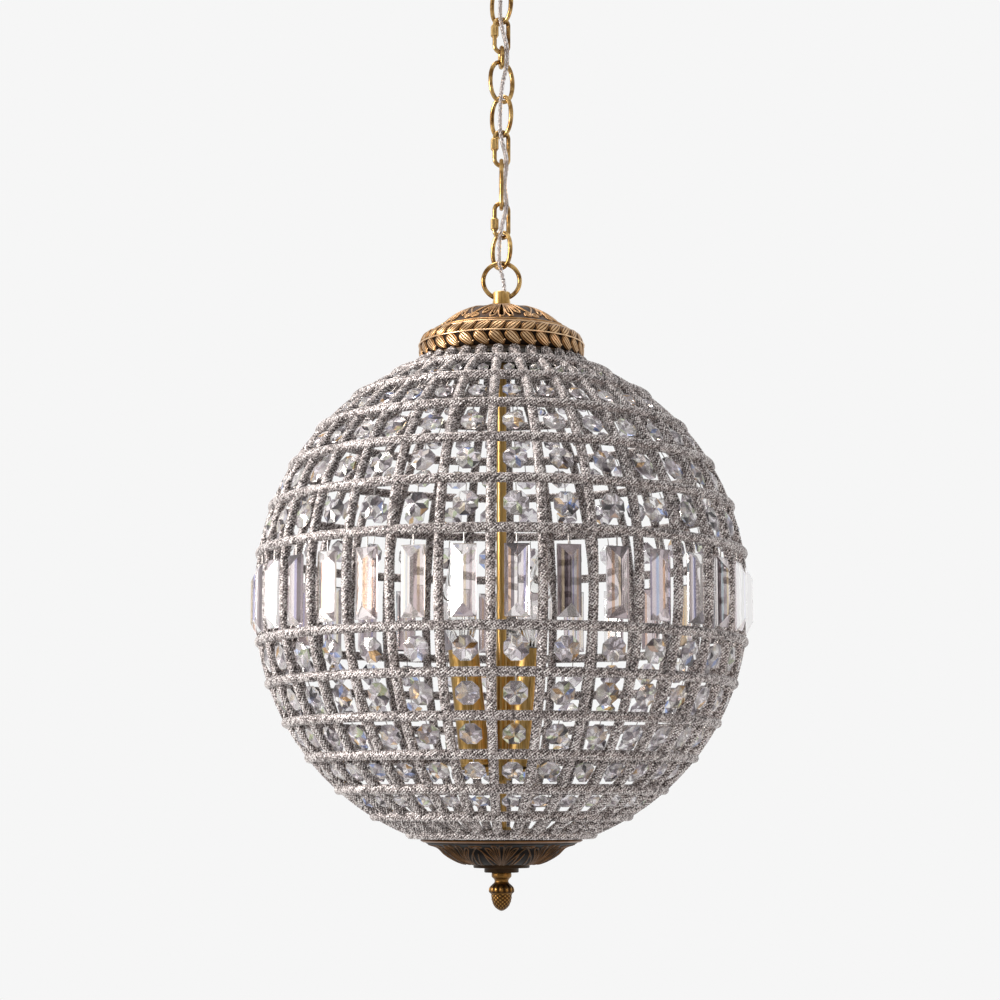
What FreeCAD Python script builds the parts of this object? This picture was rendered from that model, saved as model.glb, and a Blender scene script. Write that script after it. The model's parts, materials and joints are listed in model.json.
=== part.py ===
"""A ball-shaped crystal chandelier on a chain, hanging from a ceiling canopy.

A wire ball of upright ribs and level rings, each wound with beads, carries faceted octagons in
its cells and long prisms round its belt. A tube through the ball carries three candle lamps,
a cast crown above and a cast cup with a screwed finial below. Millimetres, +Z up, with the
origin in the ceiling's plane on the axis that everything hangs from.
"""
import FreeCAD, Part
import math
import os

from FreeCAD import Base

# Ceiling canopy and what it hides
CANOPY_RADIUS = 60.0
CANOPY_HEIGHT = 28.0
CANOPY_WALL = 1.6
CANOPY_RIM_HEIGHT = 6.0
CANOPY_NECK_RADIUS = 15.0
CROSSBAR_END_CLEARANCE = 6.4
CROSSBAR_LENGTH = 2 * (CANOPY_RADIUS - CANOPY_WALL - CROSSBAR_END_CLEARANCE)
CROSSBAR_WIDTH = 20.0
CROSSBAR_THICKNESS = 2.5
CROSSBAR_DROP = 10.0
CROSSBAR_FOOT = 30.0
SLOT_FROM_END = 13.0
SLOT_SPACING = CROSSBAR_LENGTH - 2 * SLOT_FROM_END
SLOT_LENGTH = 14.0
SLOT_WIDTH = 5.2
TERMINAL_LENGTH = 24.0
TERMINAL_WIDTH = 12.0
TERMINAL_HEIGHT = 8.0
TERMINAL_HOLE = 3.0
NIPPLE_RADIUS = 5.0
NIPPLE_BORE = 3.5
NIPPLE_STAND_UP = 5.0
NUT_HEIGHT = 4.0
NUT_ACROSS_FLATS = 17.0

# Collars that the two plain rings pass through
COLLAR_RADIUS = 9.0
CANOPY_COLLAR_HEIGHT = 14.6
STEM_COLLAR_HEIGHT = 16.8
COLLAR_FOOT_RADIUS = 11.0
COLLAR_FOOT_HEIGHT = 2.4
COLLAR_EDGE = 1.0
COLLAR_EYE_RADIUS = 4.3
COLLAR_EYE_OFFSET = 1.15
CANOPY_EYE_FROM_SEAT = 5.9
STEM_EYE_FROM_SEAT = 10.1
CORD_PORT_PLACE = (3.0, -5.2)
CORD_PORT_RADIUS = 2.5
CORD_PORT_DEPTH = 4.0

# Chain
LINK_WIRE = 4.5
LINK_PLAY = 0.5
RING_WIRE = 4.6
RING_DIAMETER = 41.6
OVAL_WIDTH = 32.0
OVAL_LENGTH = 46.5
LOW_OVAL_LENGTH = 41.0
QUICK_WIDTH = 19.0
QUICK_LENGTH = 40.5
LONG_LENGTH = 54.0
SHORT_LENGTH = 25.0
SHORT_WIDTH = 18.0
SLEEVE_LENGTH = 13.0
SLEEVE_ACROSS_FLATS = 7.6
SLEEVE_CLEARANCE = 0.08
SLEEVE_GAP = 6.0
CANOPY_RING_YAW = 45.0

# Ball frame, measured from the ball's centre
COLUMNS = 32
FRAME_RADIUS = 240.0
BELT_HALF_SPREAD = 6.5
WRAP_DIAMETER = 10.0
RING_PROUD = 2.5
FIRST_RIB_ANGLE = -92.4
RIB_TOP_LATITUDE = 70.5
RIB_BOTTOM_LATITUDE = 69.5
UPPER_RING_ANGLES = (8.5, 19.9, 30.5, 41.2, 52.6, 63.4)
LOWER_RING_ANGLES = (9.1, 19.1, 29.0, 38.7, 48.8, 59.0, 68.3)

# Crystals. An octagon's width is a share of the spacing between the ribs at its height.
UPPER_OCTAGON_SHARES = (0.547, 0.563, 0.576, 0.559, 0.449)
LOWER_OCTAGON_SHARES = (0.547, 0.558, 0.575, 0.603, 0.612)
OCTAGON_THICKNESS = 9.0
OCTAGON_WIRE_RADIUS = 0.5
PRISM_WIDTH = 22.5
PRISM_BELOW_RING = 9.5
PRISM_ABOVE_RING = 2.1
PRISM_BACK_INSET = 2.0
PRISM_GIRDLE_DEPTH = 4.0
PRISM_RIDGE_DEPTH = 11.0
PRISM_BEVEL = 12.4
PIN_RADIUS = 0.75
PIN_CLEARANCE = 0.15

# Seats between pieces that are clamped or stacked
SEAT_GAP = 0.2
BORE_CLEARANCE = 0.1

# Stem and plates that hold the ribs
STEM_RADIUS = 5.0
STEM_BORE = 3.6
STEM_INTO_COLLAR = 4.0
STEM_INTO_FINIAL = 13.1
SPIDER_THICKNESS = 3.0
SPIDER_RING_WIDTH = 14.0
SPIDER_HUB_RADIUS = 13.0
SPIDER_ARM_WIDTH = 9.0
SPIDER_OVERHANG = 0.4
UPPER_SPIDER_ARMS = 4
LOWER_SPIDER_ARMS = 3
STEM_NUT_HEIGHT = 4.5
STEM_NUT_ACROSS_FLATS = 16.0

# Crown: the band stands on the upper plate, and the dome on the band
CROWN_WALL = 2.6
BAND_HEIGHT = 26.4
BAND_OVERHANG = 1.8
BAND_BULGE = 9.0
BAND_WALL = 7.0
BAND_SHELF = 5.0
DOME_HEIGHT = 28.05
LEAF_HALF_WIDTH = 7.0
LEAVES = 8

# Cup and finial: the cup hangs below the ribs' ends, and the finial below the cup
CUP_INSET = 4.2
CUP_DROP = 4.2
CUP_RIM_HEIGHT = 4.8
CUP_BOWL_DEPTH = 21.9
CUP_STEP_RADIUS = 27.6
CUP_STEP_HEIGHT = 2.5
CUP_BOSS_RADIUS = 16.9
CUP_BOSS_HEIGHT = 4.5
CUP_WALL = 2.4
FINIAL_LENGTH = 36.9
FINIAL_HEAD_RADIUS = 9.8
FINIAL_NECK_RADIUS = 6.8
FINIAL_CAP_RADIUS = 12.6
FINIAL_BODY_RADIUS = 10.3

# Candle lamps
LAMPS = 3
FIRST_LAMP_ANGLE = -162.0
CLUSTER_TOP = -163.0
CLUSTER_HEIGHT = 12.0
CLUSTER_HUB_RADIUS = 15.0
CLUSTER_ARM_WIDTH = 10.0
CLUSTER_ARM_HEIGHT = 7.0
LAMP_FOOT_RADIUS = 27.0
LAMP_LEAN = 6.6
LAMP_PAN_RADIUS = 17.5
LAMP_PAN_HEIGHT = 5.0
LAMP_PAN_LIP = 3.0
COVER_RADIUS = 15.0
COVER_WALL = 1.6
COVER_LENGTH = 113.0
HOLDER_RADIUS = 12.0
HOLDER_LENGTH = 36.0
HOLDER_ROD_RADIUS = 4.5
HOLDER_BELOW_COVER = 3.0
BULB_CAP_RADIUS = 7.0
BULB_CAP_LENGTH = 22.0
BULB_CAP_CLEARANCE = 0.08
BULB_RADIUS = 17.0
BULB_LENGTH = 94.0
BULB_NECK_RADIUS = 8.0

# Power cord
CORD_DIAMETER = 4.4
# Each point of the route: its place across the chain, the link it passes, and its height above
# that link's middle, so that the flex follows the chain when a link changes.
CORD_ROUTE = (
    (1.5, -5.8, "canopy_ring", 13.6),
    (1.5, -5.8, "canopy_ring", 2.4),
    (-0.3, -7.2, "oval_link_1", 16.85),
    (-1.2, -7.0, "oval_link_1", -0.15),
    (-1.6, -6.7, "quick_link_2", 16.85),
    (1.8, -6.8, "quick_link_2", 0.85),
    (5.4, -4.1, "short_link_3", 11.6),
    (5.8, -3.7, "short_link_3", 2.1),
    (5.6, -2.7, "short_link_3", -9.9),
    (1.4, -6.9, "oval_link_4", -1.65),
    (-0.9, -7.2, "oval_link_5", 17.35),
    (-1.6, -6.6, "oval_link_5", -2.65),
    (-1.6, -6.8, "quick_link_6", 15.35),
    (1.8, -6.6, "quick_link_6", 1.35),
    (4.9, -4.5, "quick_link_6", -9.65),
    (5.2, -4.0, "long_link_7", 16.1),
    (2.4, -1.8, "long_link_7", -0.9),
    (5.1, -4.1, "long_link_7", -16.9),
    (5.0, -4.2, "quick_link_8", 9.85),
    (1.2, -7.0, "quick_link_8", -4.15),
    (-1.8, -6.6, "oval_link_9", 13.1),
    (-2.6, -6.2, "oval_link_9", -2.9),
    (-2.4, -6.3, "hanging_ring", 14.8),
    (3.0, -5.2, "hanging_ring", -3.2),
    (3.0, -5.2, "hanging_ring", -15.3),
)
# How much of the shorter run each side of a corner its bend takes up.
CORD_BEND_SHARE = 0.45

OVERRUN = 5.0
FULL_TURN = 360.0
# How many stretches a quarter turn of a smooth outline is interpolated over.
CURVE_STEPS = 5
UP = Base.Vector(0, 0, 1)
AXIS_X = Base.Vector(1, 0, 0)
AXIS_Y = Base.Vector(0, 1, 0)
ORIGIN = Base.Vector(0, 0, 0)


def vec(x, y, z):
    """A point in millimetres."""
    return Base.Vector(x, y, z)


def turned(outline, smooth_first=0):
    """A solid turned about Z from (radius, height) points, the first few on one smooth curve."""
    points = [vec(r, 0, z) for r, z in outline]
    edges = []
    if smooth_first:
        curve = Part.BSplineCurve()
        curve.interpolate(points[:smooth_first])
        edges.append(curve.toShape())
        points = points[smooth_first - 1:]
    closing = points + [vec(outline[0][0], 0, outline[0][1])]
    for start, end in zip(closing, closing[1:]):
        if (end - start).Length > Base.Precision.confusion():
            edges.append(Part.makeLine(start, end))
    face = Part.Face(Part.Wire(edges))
    return face.revolve(ORIGIN, UP, FULL_TURN)


def tube(outer, inner, low, high):
    """A plain tube between two heights."""
    body = Part.makeCylinder(outer, high - low, vec(0, 0, low))
    if inner:
        bore = Part.makeCylinder(inner, high - low + 2 * OVERRUN, vec(0, 0, low - OVERRUN))
        body = body.cut(bore)
    return body


def hexagon(across_flats, low, high):
    """A hexagonal bar between two heights."""
    corner = across_flats / 2 / math.cos(math.pi / 6)
    corners = [
        vec(corner * math.cos(math.pi / 3 * k), corner * math.sin(math.pi / 3 * k), low)
        for k in range(6)
    ]
    return Part.Face(Part.makePolygon(corners + corners[:1])).extrude(vec(0, 0, high - low))


def ring_of(shape, count, centre=ORIGIN):
    """The shape and its copies, evenly round the Z axis."""
    copies = []
    for k in range(count):
        copy = shape.copy()
        copy.rotate(centre, UP, FULL_TURN * k / count)
        copies.append(copy)
    return copies


def moved(shape, x=0.0, y=0.0, z=0.0):
    """A copy of the shape, shifted."""
    copy = shape.copy()
    copy.translate(vec(x, y, z))
    return copy


def spun(shape, angle, axis=UP, centre=ORIGIN):
    """A copy of the shape, turned by degrees."""
    copy = shape.copy()
    copy.rotate(centre, axis, angle)
    return copy


def fused(shapes):
    """One solid from several that meet."""
    return shapes[0].multiFuse(shapes[1:]).removeSplitter()


def solid_from_faces(faces):
    """A closed solid from flat faces given as corner lists."""
    made = [Part.Face(Part.makePolygon(corners + corners[:1])) for corners in faces]
    solid = Part.Solid(Part.Shell(made))
    if solid.Volume < 0:
        solid.reverse()
    return solid


# Chain: each entry is a name, the loop's outside width and length, and its turn about the axis.
CHAIN = (
    ("oval_link_1", OVAL_WIDTH, OVAL_LENGTH, -45.0),
    ("quick_link_2", QUICK_WIDTH, QUICK_LENGTH, 15.0),
    ("short_link_3", SHORT_WIDTH, SHORT_LENGTH, 100.0),
    ("oval_link_4", OVAL_WIDTH, OVAL_LENGTH, 35.0),
    ("oval_link_5", OVAL_WIDTH, OVAL_LENGTH, -45.0),
    ("quick_link_6", QUICK_WIDTH, QUICK_LENGTH, 15.0),
    ("long_link_7", QUICK_WIDTH, LONG_LENGTH, 90.0),
    ("quick_link_8", QUICK_WIDTH, QUICK_LENGTH, 15.0),
    ("oval_link_9", OVAL_WIDTH, LOW_OVAL_LENGTH, -50.0),
)
# Which way each sleeve stands from its link's middle: 1 above, -1 below.
SLEEVE_SIDES = {"quick_link_2": 1, "quick_link_6": 1, "quick_link_8": -1}

RING_CENTRELINE = (RING_DIAMETER - RING_WIRE) / 2
CANOPY_EYE_Z = -CANOPY_HEIGHT - CANOPY_EYE_FROM_SEAT
CANOPY_RING_Z = CANOPY_EYE_Z - RING_CENTRELINE


def chain_places():
    """The height of each link's middle, and of the hanging ring's centre, from the top down."""
    places = {"canopy_ring": CANOPY_RING_Z}
    contact = CANOPY_RING_Z - RING_CENTRELINE + RING_WIRE / 2
    for name, _, length, _ in CHAIN:
        top = contact + LINK_PLAY + LINK_WIRE
        places[name] = top - length / 2
        contact = top - length + LINK_WIRE
    places["hanging_ring"] = contact + LINK_PLAY + RING_WIRE - RING_DIAMETER / 2
    return places


PLACES = chain_places()
STEM_EYE_Z = PLACES["hanging_ring"] - RING_CENTRELINE
WRAP_RADIUS = WRAP_DIAMETER / 2


def place_on_half(latitude, half, radius=FRAME_RADIUS):
    """(radius, height) at a latitude in degrees on the upper half, 1, or the lower half, -1."""
    turn = math.radians(latitude)
    return radius * math.cos(turn), half * (BELT_HALF_SPREAD + radius * math.sin(turn))


# What follows from the frame, with heights about the ball's centre. The upper plate lies on the
# ribs' top ends and carries the band, the dome and the collar.
RIB_TOP_EDGE = place_on_half(RIB_TOP_LATITUDE, 1, FRAME_RADIUS + WRAP_RADIUS)
UPPER_PLATE_RADIUS = RIB_TOP_EDGE[0] + SPIDER_OVERHANG
UPPER_PLATE_LOW = RIB_TOP_EDGE[1] + SEAT_GAP
BAND_RADIUS = UPPER_PLATE_RADIUS + BAND_OVERHANG
BAND_TOP_RADIUS = BAND_RADIUS - BAND_BULGE
BAND_LOW = UPPER_PLATE_LOW + SPIDER_THICKNESS + SEAT_GAP
BAND_HIGH = BAND_LOW + BAND_HEIGHT
DOME_RADIUS = BAND_TOP_RADIUS - BAND_SHELF
DOME_LIP = BAND_HIGH + SEAT_GAP
DOME_FOOT = DOME_LIP + CROWN_WALL
CROWN_TOP = DOME_LIP + DOME_HEIGHT
BALL_Z = STEM_EYE_Z - STEM_EYE_FROM_SEAT - CROWN_TOP

# The ribs' lower ends butt on the lower plate's edge, and the cup closes the ball under them.
RIB_FOOT = place_on_half(RIB_BOTTOM_LATITUDE, -1)
LOWER_PLATE_LOW = RIB_FOOT[1] - SPIDER_THICKNESS / 2
CUP_RADIUS = RIB_FOOT[0] - CUP_INSET
CUP_RIM_TOP = RIB_FOOT[1] - CUP_DROP
CUP_RIM_LOW = CUP_RIM_TOP - CUP_RIM_HEIGHT
CUP_BOWL_LOW = CUP_RIM_LOW - CUP_BOWL_DEPTH
CUP_BOTTOM = CUP_BOWL_LOW - CUP_STEP_HEIGHT - CUP_BOSS_HEIGHT
STEM_LOW = CUP_BOTTOM - STEM_INTO_FINIAL


def on_ball(shape):
    """A shape drawn about the ball's centre, in the chandelier's own frame."""
    return moved(shape, z=BALL_Z)


def loop(width, length, wire):
    """A closed link with round ends, upright in the XZ plane about its middle."""
    bend = (width - wire) / 2
    straight = length / 2 - wire / 2 - bend
    path = Part.Wire([
        Part.makeLine(vec(bend, 0, -straight), vec(bend, 0, straight)),
        Part.Arc(vec(bend, 0, straight), vec(0, 0, straight + bend), vec(-bend, 0, straight)).toShape(),
        Part.makeLine(vec(-bend, 0, straight), vec(-bend, 0, -straight)),
        Part.Arc(vec(-bend, 0, -straight), vec(0, 0, -straight - bend), vec(bend, 0, -straight)).toShape(),
    ])
    section = Part.Wire(Part.makeCircle(wire / 2, vec(bend, 0, -straight), UP))
    return path.makePipeShell([section], True, False)


def quick_link(side):
    """A loop whose left leg has a gap that the sleeve bridges."""
    body = loop(QUICK_WIDTH, QUICK_LENGTH, LINK_WIRE)
    leg = -(QUICK_WIDTH - LINK_WIRE) / 2
    # A sleeve slid to the leg's far end leaves free the stretch that this is the middle of.
    middle = side * SLEEVE_LENGTH / 2
    gap = Part.makeCylinder(LINK_WIRE, SLEEVE_GAP, vec(leg, 0, middle - SLEEVE_GAP / 2))
    return body.cut(gap)


def quick_leg():
    """The straight length of a quick link's leg."""
    return QUICK_LENGTH - QUICK_WIDTH


def sleeve(side):
    """The hexagonal nut that slides along a quick link's leg to close it."""
    leg = -(QUICK_WIDTH - LINK_WIRE) / 2
    middle = side * (quick_leg() - SLEEVE_LENGTH) / 2
    nut = hexagon(SLEEVE_ACROSS_FLATS, middle - SLEEVE_LENGTH / 2, middle + SLEEVE_LENGTH / 2)
    bore = Part.makeCylinder(
        LINK_WIRE / 2 + SLEEVE_CLEARANCE,
        SLEEVE_LENGTH + 2 * OVERRUN,
        vec(0, 0, middle - SLEEVE_LENGTH / 2 - OVERRUN),
    )
    return moved(nut.cut(bore), x=leg)


def chain():
    """Every link of the chain and its sleeves, in place."""
    made = {}
    for name, width, length, yaw in CHAIN:
        side = SLEEVE_SIDES.get(name)
        body = quick_link(side) if side else loop(width, length, LINK_WIRE)
        made[name] = moved(spun(body, yaw), z=PLACES[name])
        if side:
            made[name.replace("link", "link_sleeve")] = moved(spun(sleeve(side), yaw), z=PLACES[name])
    return made


def plain_ring():
    """A round ring, upright in the XZ plane about its centre."""
    return Part.makeTorus(RING_CENTRELINE, RING_WIRE / 2, ORIGIN, AXIS_Y)


def collar(height, eye_height):
    """A collar on its seat at zero: an eye for the ring across it, and a port for the cord."""
    outline = [
        (0, 0),
        (COLLAR_FOOT_RADIUS, 0),
        (COLLAR_FOOT_RADIUS, COLLAR_FOOT_HEIGHT),
        (COLLAR_RADIUS, COLLAR_FOOT_HEIGHT + COLLAR_EDGE),
        (COLLAR_RADIUS, height - COLLAR_EDGE),
        (COLLAR_RADIUS - COLLAR_EDGE, height),
        (0, height),
    ]
    body = turned(outline)
    reach = COLLAR_FOOT_RADIUS + OVERRUN
    eye = Part.makeCylinder(
        COLLAR_EYE_RADIUS, 2 * reach, vec(-reach, 0, eye_height + COLLAR_EYE_OFFSET), AXIS_X
    )
    port = Part.makeCylinder(
        CORD_PORT_RADIUS,
        CORD_PORT_DEPTH + OVERRUN,
        vec(CORD_PORT_PLACE[0], CORD_PORT_PLACE[1], height - CORD_PORT_DEPTH),
    )
    bore = Part.makeCylinder(STEM_RADIUS + BORE_CLEARANCE, STEM_INTO_COLLAR + OVERRUN, vec(0, 0, -OVERRUN))
    return body.cut(eye).cut(port).cut(bore)


def canopy_outline(wall):
    """The canopy's curved outer line, moved in by the wall, from the neck to the ceiling."""
    low = -CANOPY_HEIGHT + wall
    height = CANOPY_HEIGHT - wall
    radius = CANOPY_RADIUS - wall
    rise = height - CANOPY_RIM_HEIGHT
    span = radius - CANOPY_NECK_RADIUS
    line = []
    for k in range(CURVE_STEPS + 1):
        turn = math.pi / 2 * k / CURVE_STEPS
        line.append((CANOPY_NECK_RADIUS + span * math.sin(turn), low + rise * (1 - math.cos(turn))))
    return line


def ceiling_canopy():
    """The shallow bowl against the ceiling, open at the top, with a bore for the nipple."""
    outer = canopy_outline(0.0)
    outside = turned(outer + [(CANOPY_RADIUS, 0), (0, 0), (0, -CANOPY_HEIGHT)], len(outer))
    inner = canopy_outline(CANOPY_WALL)
    inside = turned(
        inner + [(CANOPY_RADIUS - CANOPY_WALL, OVERRUN), (0, OVERRUN), (0, CANOPY_WALL - CANOPY_HEIGHT)],
        len(inner),
    )
    bore = Part.makeCylinder(
        NIPPLE_RADIUS + BORE_CLEARANCE, CANOPY_HEIGHT, vec(0, 0, -CANOPY_HEIGHT - OVERRUN)
    )
    return outside.cut(inside).cut(bore)


def crossbar():
    """The ceiling strap: two slotted feet on the ceiling and a dropped middle with the nipple's hole."""
    half = CROSSBAR_LENGTH / 2
    foot = half - CROSSBAR_FOOT
    step = CROSSBAR_DROP
    thick = CROSSBAR_THICKNESS
    right = [
        (foot - step, -step - thick), (foot, -thick), (half, -thick), (half, 0),
        (foot - thick / 2, 0), (foot - step - thick / 2, -step),
    ]
    side = right + [(-x, z) for x, z in right[::-1]]
    corners = [vec(x, -CROSSBAR_WIDTH / 2, z) for x, z in side]
    strap = Part.Face(Part.makePolygon(corners + corners[:1])).extrude(vec(0, CROSSBAR_WIDTH, 0))
    hole = Part.makeCylinder(
        NIPPLE_RADIUS + BORE_CLEARANCE, 2 * CANOPY_HEIGHT, vec(0, 0, -CANOPY_HEIGHT)
    )
    strap = strap.cut(hole)
    reach = (SLOT_LENGTH - SLOT_WIDTH) / 2
    for sign in (-1, 1):
        slot = sign * SLOT_SPACING / 2
        cutters = [
            Part.makeCylinder(SLOT_WIDTH / 2, 2 * OVERRUN, vec(slot + end * reach, 0, -OVERRUN))
            for end in (-1, 1)
        ]
        cutters.append(Part.makeBox(
            2 * reach, SLOT_WIDTH, 2 * OVERRUN, vec(slot - reach, -SLOT_WIDTH / 2, -OVERRUN)
        ))
        for cutter in cutters:
            strap = strap.cut(cutter)
    return strap


def canopy_fittings():
    """The nipple, its locknut and the terminal block inside the canopy."""
    bar_low = -CROSSBAR_DROP - CROSSBAR_THICKNESS
    nipple = tube(NIPPLE_RADIUS, NIPPLE_BORE, -CANOPY_HEIGHT - STEM_INTO_COLLAR + SEAT_GAP, -NIPPLE_STAND_UP)
    nut = hexagon(NUT_ACROSS_FLATS, bar_low - SEAT_GAP - NUT_HEIGHT, bar_low - SEAT_GAP)
    nut = nut.cut(Part.makeCylinder(
        NIPPLE_RADIUS + BORE_CLEARANCE, 2 * CANOPY_HEIGHT, vec(0, 0, -2 * CANOPY_HEIGHT)
    ))
    block = Part.makeBox(
        TERMINAL_LENGTH, TERMINAL_WIDTH, TERMINAL_HEIGHT,
        vec(-TERMINAL_LENGTH / 2, CROSSBAR_WIDTH / 2 + SEAT_GAP, bar_low),
    )
    for k in (-1, 0, 1):
        block = block.cut(Part.makeCylinder(
            TERMINAL_HOLE / 2, TERMINAL_WIDTH + 2 * OVERRUN,
            vec(k * TERMINAL_LENGTH / 3, CROSSBAR_WIDTH / 2 - OVERRUN, bar_low + TERMINAL_HEIGHT / 2),
            AXIS_Y,
        ))
    return {"threaded_nipple": nipple, "canopy_locknut": nut, "terminal_block": block}


def ring_places():
    """Every ring's (radius, height) about the ball's centre, upper half then lower half."""
    radius = FRAME_RADIUS + RING_PROUD
    upper = [place_on_half(a, 1, radius) for a in UPPER_RING_ANGLES]
    lower = [place_on_half(a, -1, radius) for a in LOWER_RING_ANGLES]
    return upper, lower


def frame_ribs():
    """The upright ribs with their bead winding: two arcs joined by a straight stretch at the belt."""
    top_r, top_z = place_on_half(RIB_TOP_LATITUDE, 1)
    mid_r, mid_z = place_on_half(RIB_TOP_LATITUDE / 2, 1)
    low_r, low_z = RIB_FOOT
    lower_mid_r, lower_mid_z = place_on_half(RIB_BOTTOM_LATITUDE / 2, -1)
    belt_top = vec(FRAME_RADIUS, 0, BELT_HALF_SPREAD)
    belt_low = vec(FRAME_RADIUS, 0, -BELT_HALF_SPREAD)
    path = Part.Wire([
        Part.Arc(vec(low_r, 0, low_z), vec(lower_mid_r, 0, lower_mid_z), belt_low).toShape(),
        Part.makeLine(belt_low, belt_top),
        Part.Arc(belt_top, vec(mid_r, 0, mid_z), vec(top_r, 0, top_z)).toShape(),
    ])
    lean = math.radians(RIB_BOTTOM_LATITUDE)
    start = vec(math.sin(lean), 0, math.cos(lean))
    section = Part.Wire(Part.makeCircle(WRAP_RADIUS, vec(low_r, 0, low_z), start))
    rib = path.makePipeShell([section], True, False)
    return [spun(r, FIRST_RIB_ANGLE) for r in ring_of(rib, COLUMNS)]


def frame_rings():
    """The level rings with their bead winding, upper and lower groups."""
    return [[Part.makeTorus(r, WRAP_RADIUS, vec(0, 0, z)) for r, z in group] for group in ring_places()]


def octagon(width):
    """An eight-sided crystal with a point on each face, standing in the YZ plane, flats level."""
    corner = width / 2
    turn = 2 * math.pi / 8
    rim = [
        vec(0, corner * math.cos(turn * (k + 1 / 2)), corner * math.sin(turn * (k + 1 / 2)))
        for k in range(8)
    ]
    faces = []
    for tip in (vec(OCTAGON_THICKNESS / 2, 0, 0), vec(-OCTAGON_THICKNESS / 2, 0, 0)):
        for k in range(8):
            faces.append([rim[k], rim[(k + 1) % 8], tip])
    return solid_from_faces(faces)


def octagon_cells():
    """For each row of cells: its name, which half, the octagon's latitude and width, the ring above."""
    cells = []
    for half, word, shares, angles in (
        (1, "upper", UPPER_OCTAGON_SHARES, UPPER_RING_ANGLES),
        (-1, "lower", LOWER_OCTAGON_SHARES, LOWER_RING_ANGLES),
    ):
        for row, share in enumerate(shares):
            latitude = (angles[row] + angles[row + 1]) / 2
            spacing = 2 * math.pi * place_on_half(latitude, half)[0] / COLUMNS
            ring_above = angles[row + 1] if half > 0 else angles[row]
            cells.append(("%s_octagons_%d" % (word, row + 1), half, latitude, share * spacing, ring_above))
    return cells


def set_in_row(shape, half, latitude):
    """A piece drawn facing +X with +Z up, laid on the ball at a latitude, one in every column."""
    r, z = place_on_half(latitude, half)
    piece = moved(spun(shape, -half * latitude, AXIS_Y), x=r, z=z)
    return [spun(p, FIRST_RIB_ANGLE + FULL_TURN / COLUMNS / 2) for p in ring_of(piece, COLUMNS)]


def octagon_rows():
    """The octagons, each in the middle of its cell."""
    return {
        name: set_in_row(octagon(width), half, latitude)
        for name, half, latitude, width, _ in octagon_cells()
    }


def octagon_wires():
    """The straight wires from the rings down to the octagons' top edges, for the two halves."""
    wires = {"upper_octagon_wires": [], "lower_octagon_wires": []}
    ring_radius = FRAME_RADIUS + RING_PROUD
    for name, half, latitude, width, ring_above in octagon_cells():
        apart = math.radians(abs(ring_above - latitude))
        outward = ring_radius * math.cos(apart) - FRAME_RADIUS
        wrap_edge = ring_radius * math.sin(apart) - math.sqrt(WRAP_RADIUS ** 2 - outward ** 2)
        low = width / 2 * math.cos(math.pi / 8) + PIN_CLEARANCE
        wire = Part.makeCylinder(OCTAGON_WIRE_RADIUS, wrap_edge - SEAT_GAP - low, vec(0, 0, low))
        wires["%s_octagon_wires" % name.split("_")[0]] += set_in_row(wire, half, latitude)
    return wires


def prism_span():
    """The heights of the belt prisms' lower and upper ends."""
    upper, lower = ring_places()
    return lower[0][1] + WRAP_RADIUS + PRISM_ABOVE_RING, upper[0][1] - WRAP_RADIUS - PRISM_BELOW_RING


def belt_prisms():
    """The long prisms round the belt: a flat back, a ridge in front and bevelled ends."""
    half_w = PRISM_WIDTH / 2
    foot, head = prism_span()
    back = [(-half_w, foot), (half_w, foot), (half_w, head), (-half_w, head)]
    rear = [vec(0, y, z) for y, z in back]
    girdle = [vec(PRISM_GIRDLE_DEPTH, y, z) for y, z in back]
    low = vec(PRISM_RIDGE_DEPTH, 0, foot + PRISM_BEVEL)
    high = vec(PRISM_RIDGE_DEPTH, 0, head - PRISM_BEVEL)
    faces = [rear[::-1]]
    for k in range(4):
        faces.append([rear[k], rear[(k + 1) % 4], girdle[(k + 1) % 4], girdle[k]])
    faces.append([girdle[0], girdle[1], low])
    faces.append([girdle[1], girdle[2], high, low])
    faces.append([girdle[2], girdle[3], high])
    faces.append([girdle[3], girdle[0], low, high])
    prism = moved(solid_from_faces(faces), x=FRAME_RADIUS - PRISM_BACK_INSET)
    cell = FULL_TURN / COLUMNS
    return [spun(p, FIRST_RIB_ANGLE + cell / 2) for p in ring_of(prism, COLUMNS)]


def prism_pins():
    """The wire pins from the belt's two rings to the prisms' ends."""
    upper, lower = ring_places()
    foot, head = prism_span()
    place = FRAME_RADIUS - PRISM_BACK_INSET + PRISM_GIRDLE_DEPTH / 2
    pins = []
    for (ring_r, ring_z), half, prism_edge in ((upper[0], 1, head), (lower[0], -1, foot)):
        offset = place - PIN_RADIUS - ring_r
        wrap_edge = ring_z - half * math.sqrt(WRAP_RADIUS ** 2 - offset ** 2)
        low, high = sorted((wrap_edge - half * SEAT_GAP, prism_edge + half * PIN_CLEARANCE))
        pin = moved(Part.makeCylinder(PIN_RADIUS, high - low, vec(0, 0, low)), x=place)
        pins += ring_of(pin, COLUMNS)
    return [spun(p, FIRST_RIB_ANGLE + FULL_TURN / COLUMNS / 2) for p in pins]


def spider(radius, low, arms):
    """A flat ring with spokes and a hub bored for the stem."""
    high = low + SPIDER_THICKNESS
    parts = [
        tube(radius, radius - SPIDER_RING_WIDTH, low, high),
        tube(SPIDER_HUB_RADIUS, 0, low, high),
    ]
    reach = radius - SPIDER_RING_WIDTH / 2
    arm = Part.makeBox(reach, SPIDER_ARM_WIDTH, SPIDER_THICKNESS, vec(0, -SPIDER_ARM_WIDTH / 2, low))
    parts += ring_of(arm, arms)
    plate = fused(parts)
    bore = Part.makeCylinder(
        STEM_RADIUS + BORE_CLEARANCE, SPIDER_THICKNESS + 2 * OVERRUN, vec(0, 0, low - OVERRUN)
    )
    return plate.cut(bore)


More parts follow.
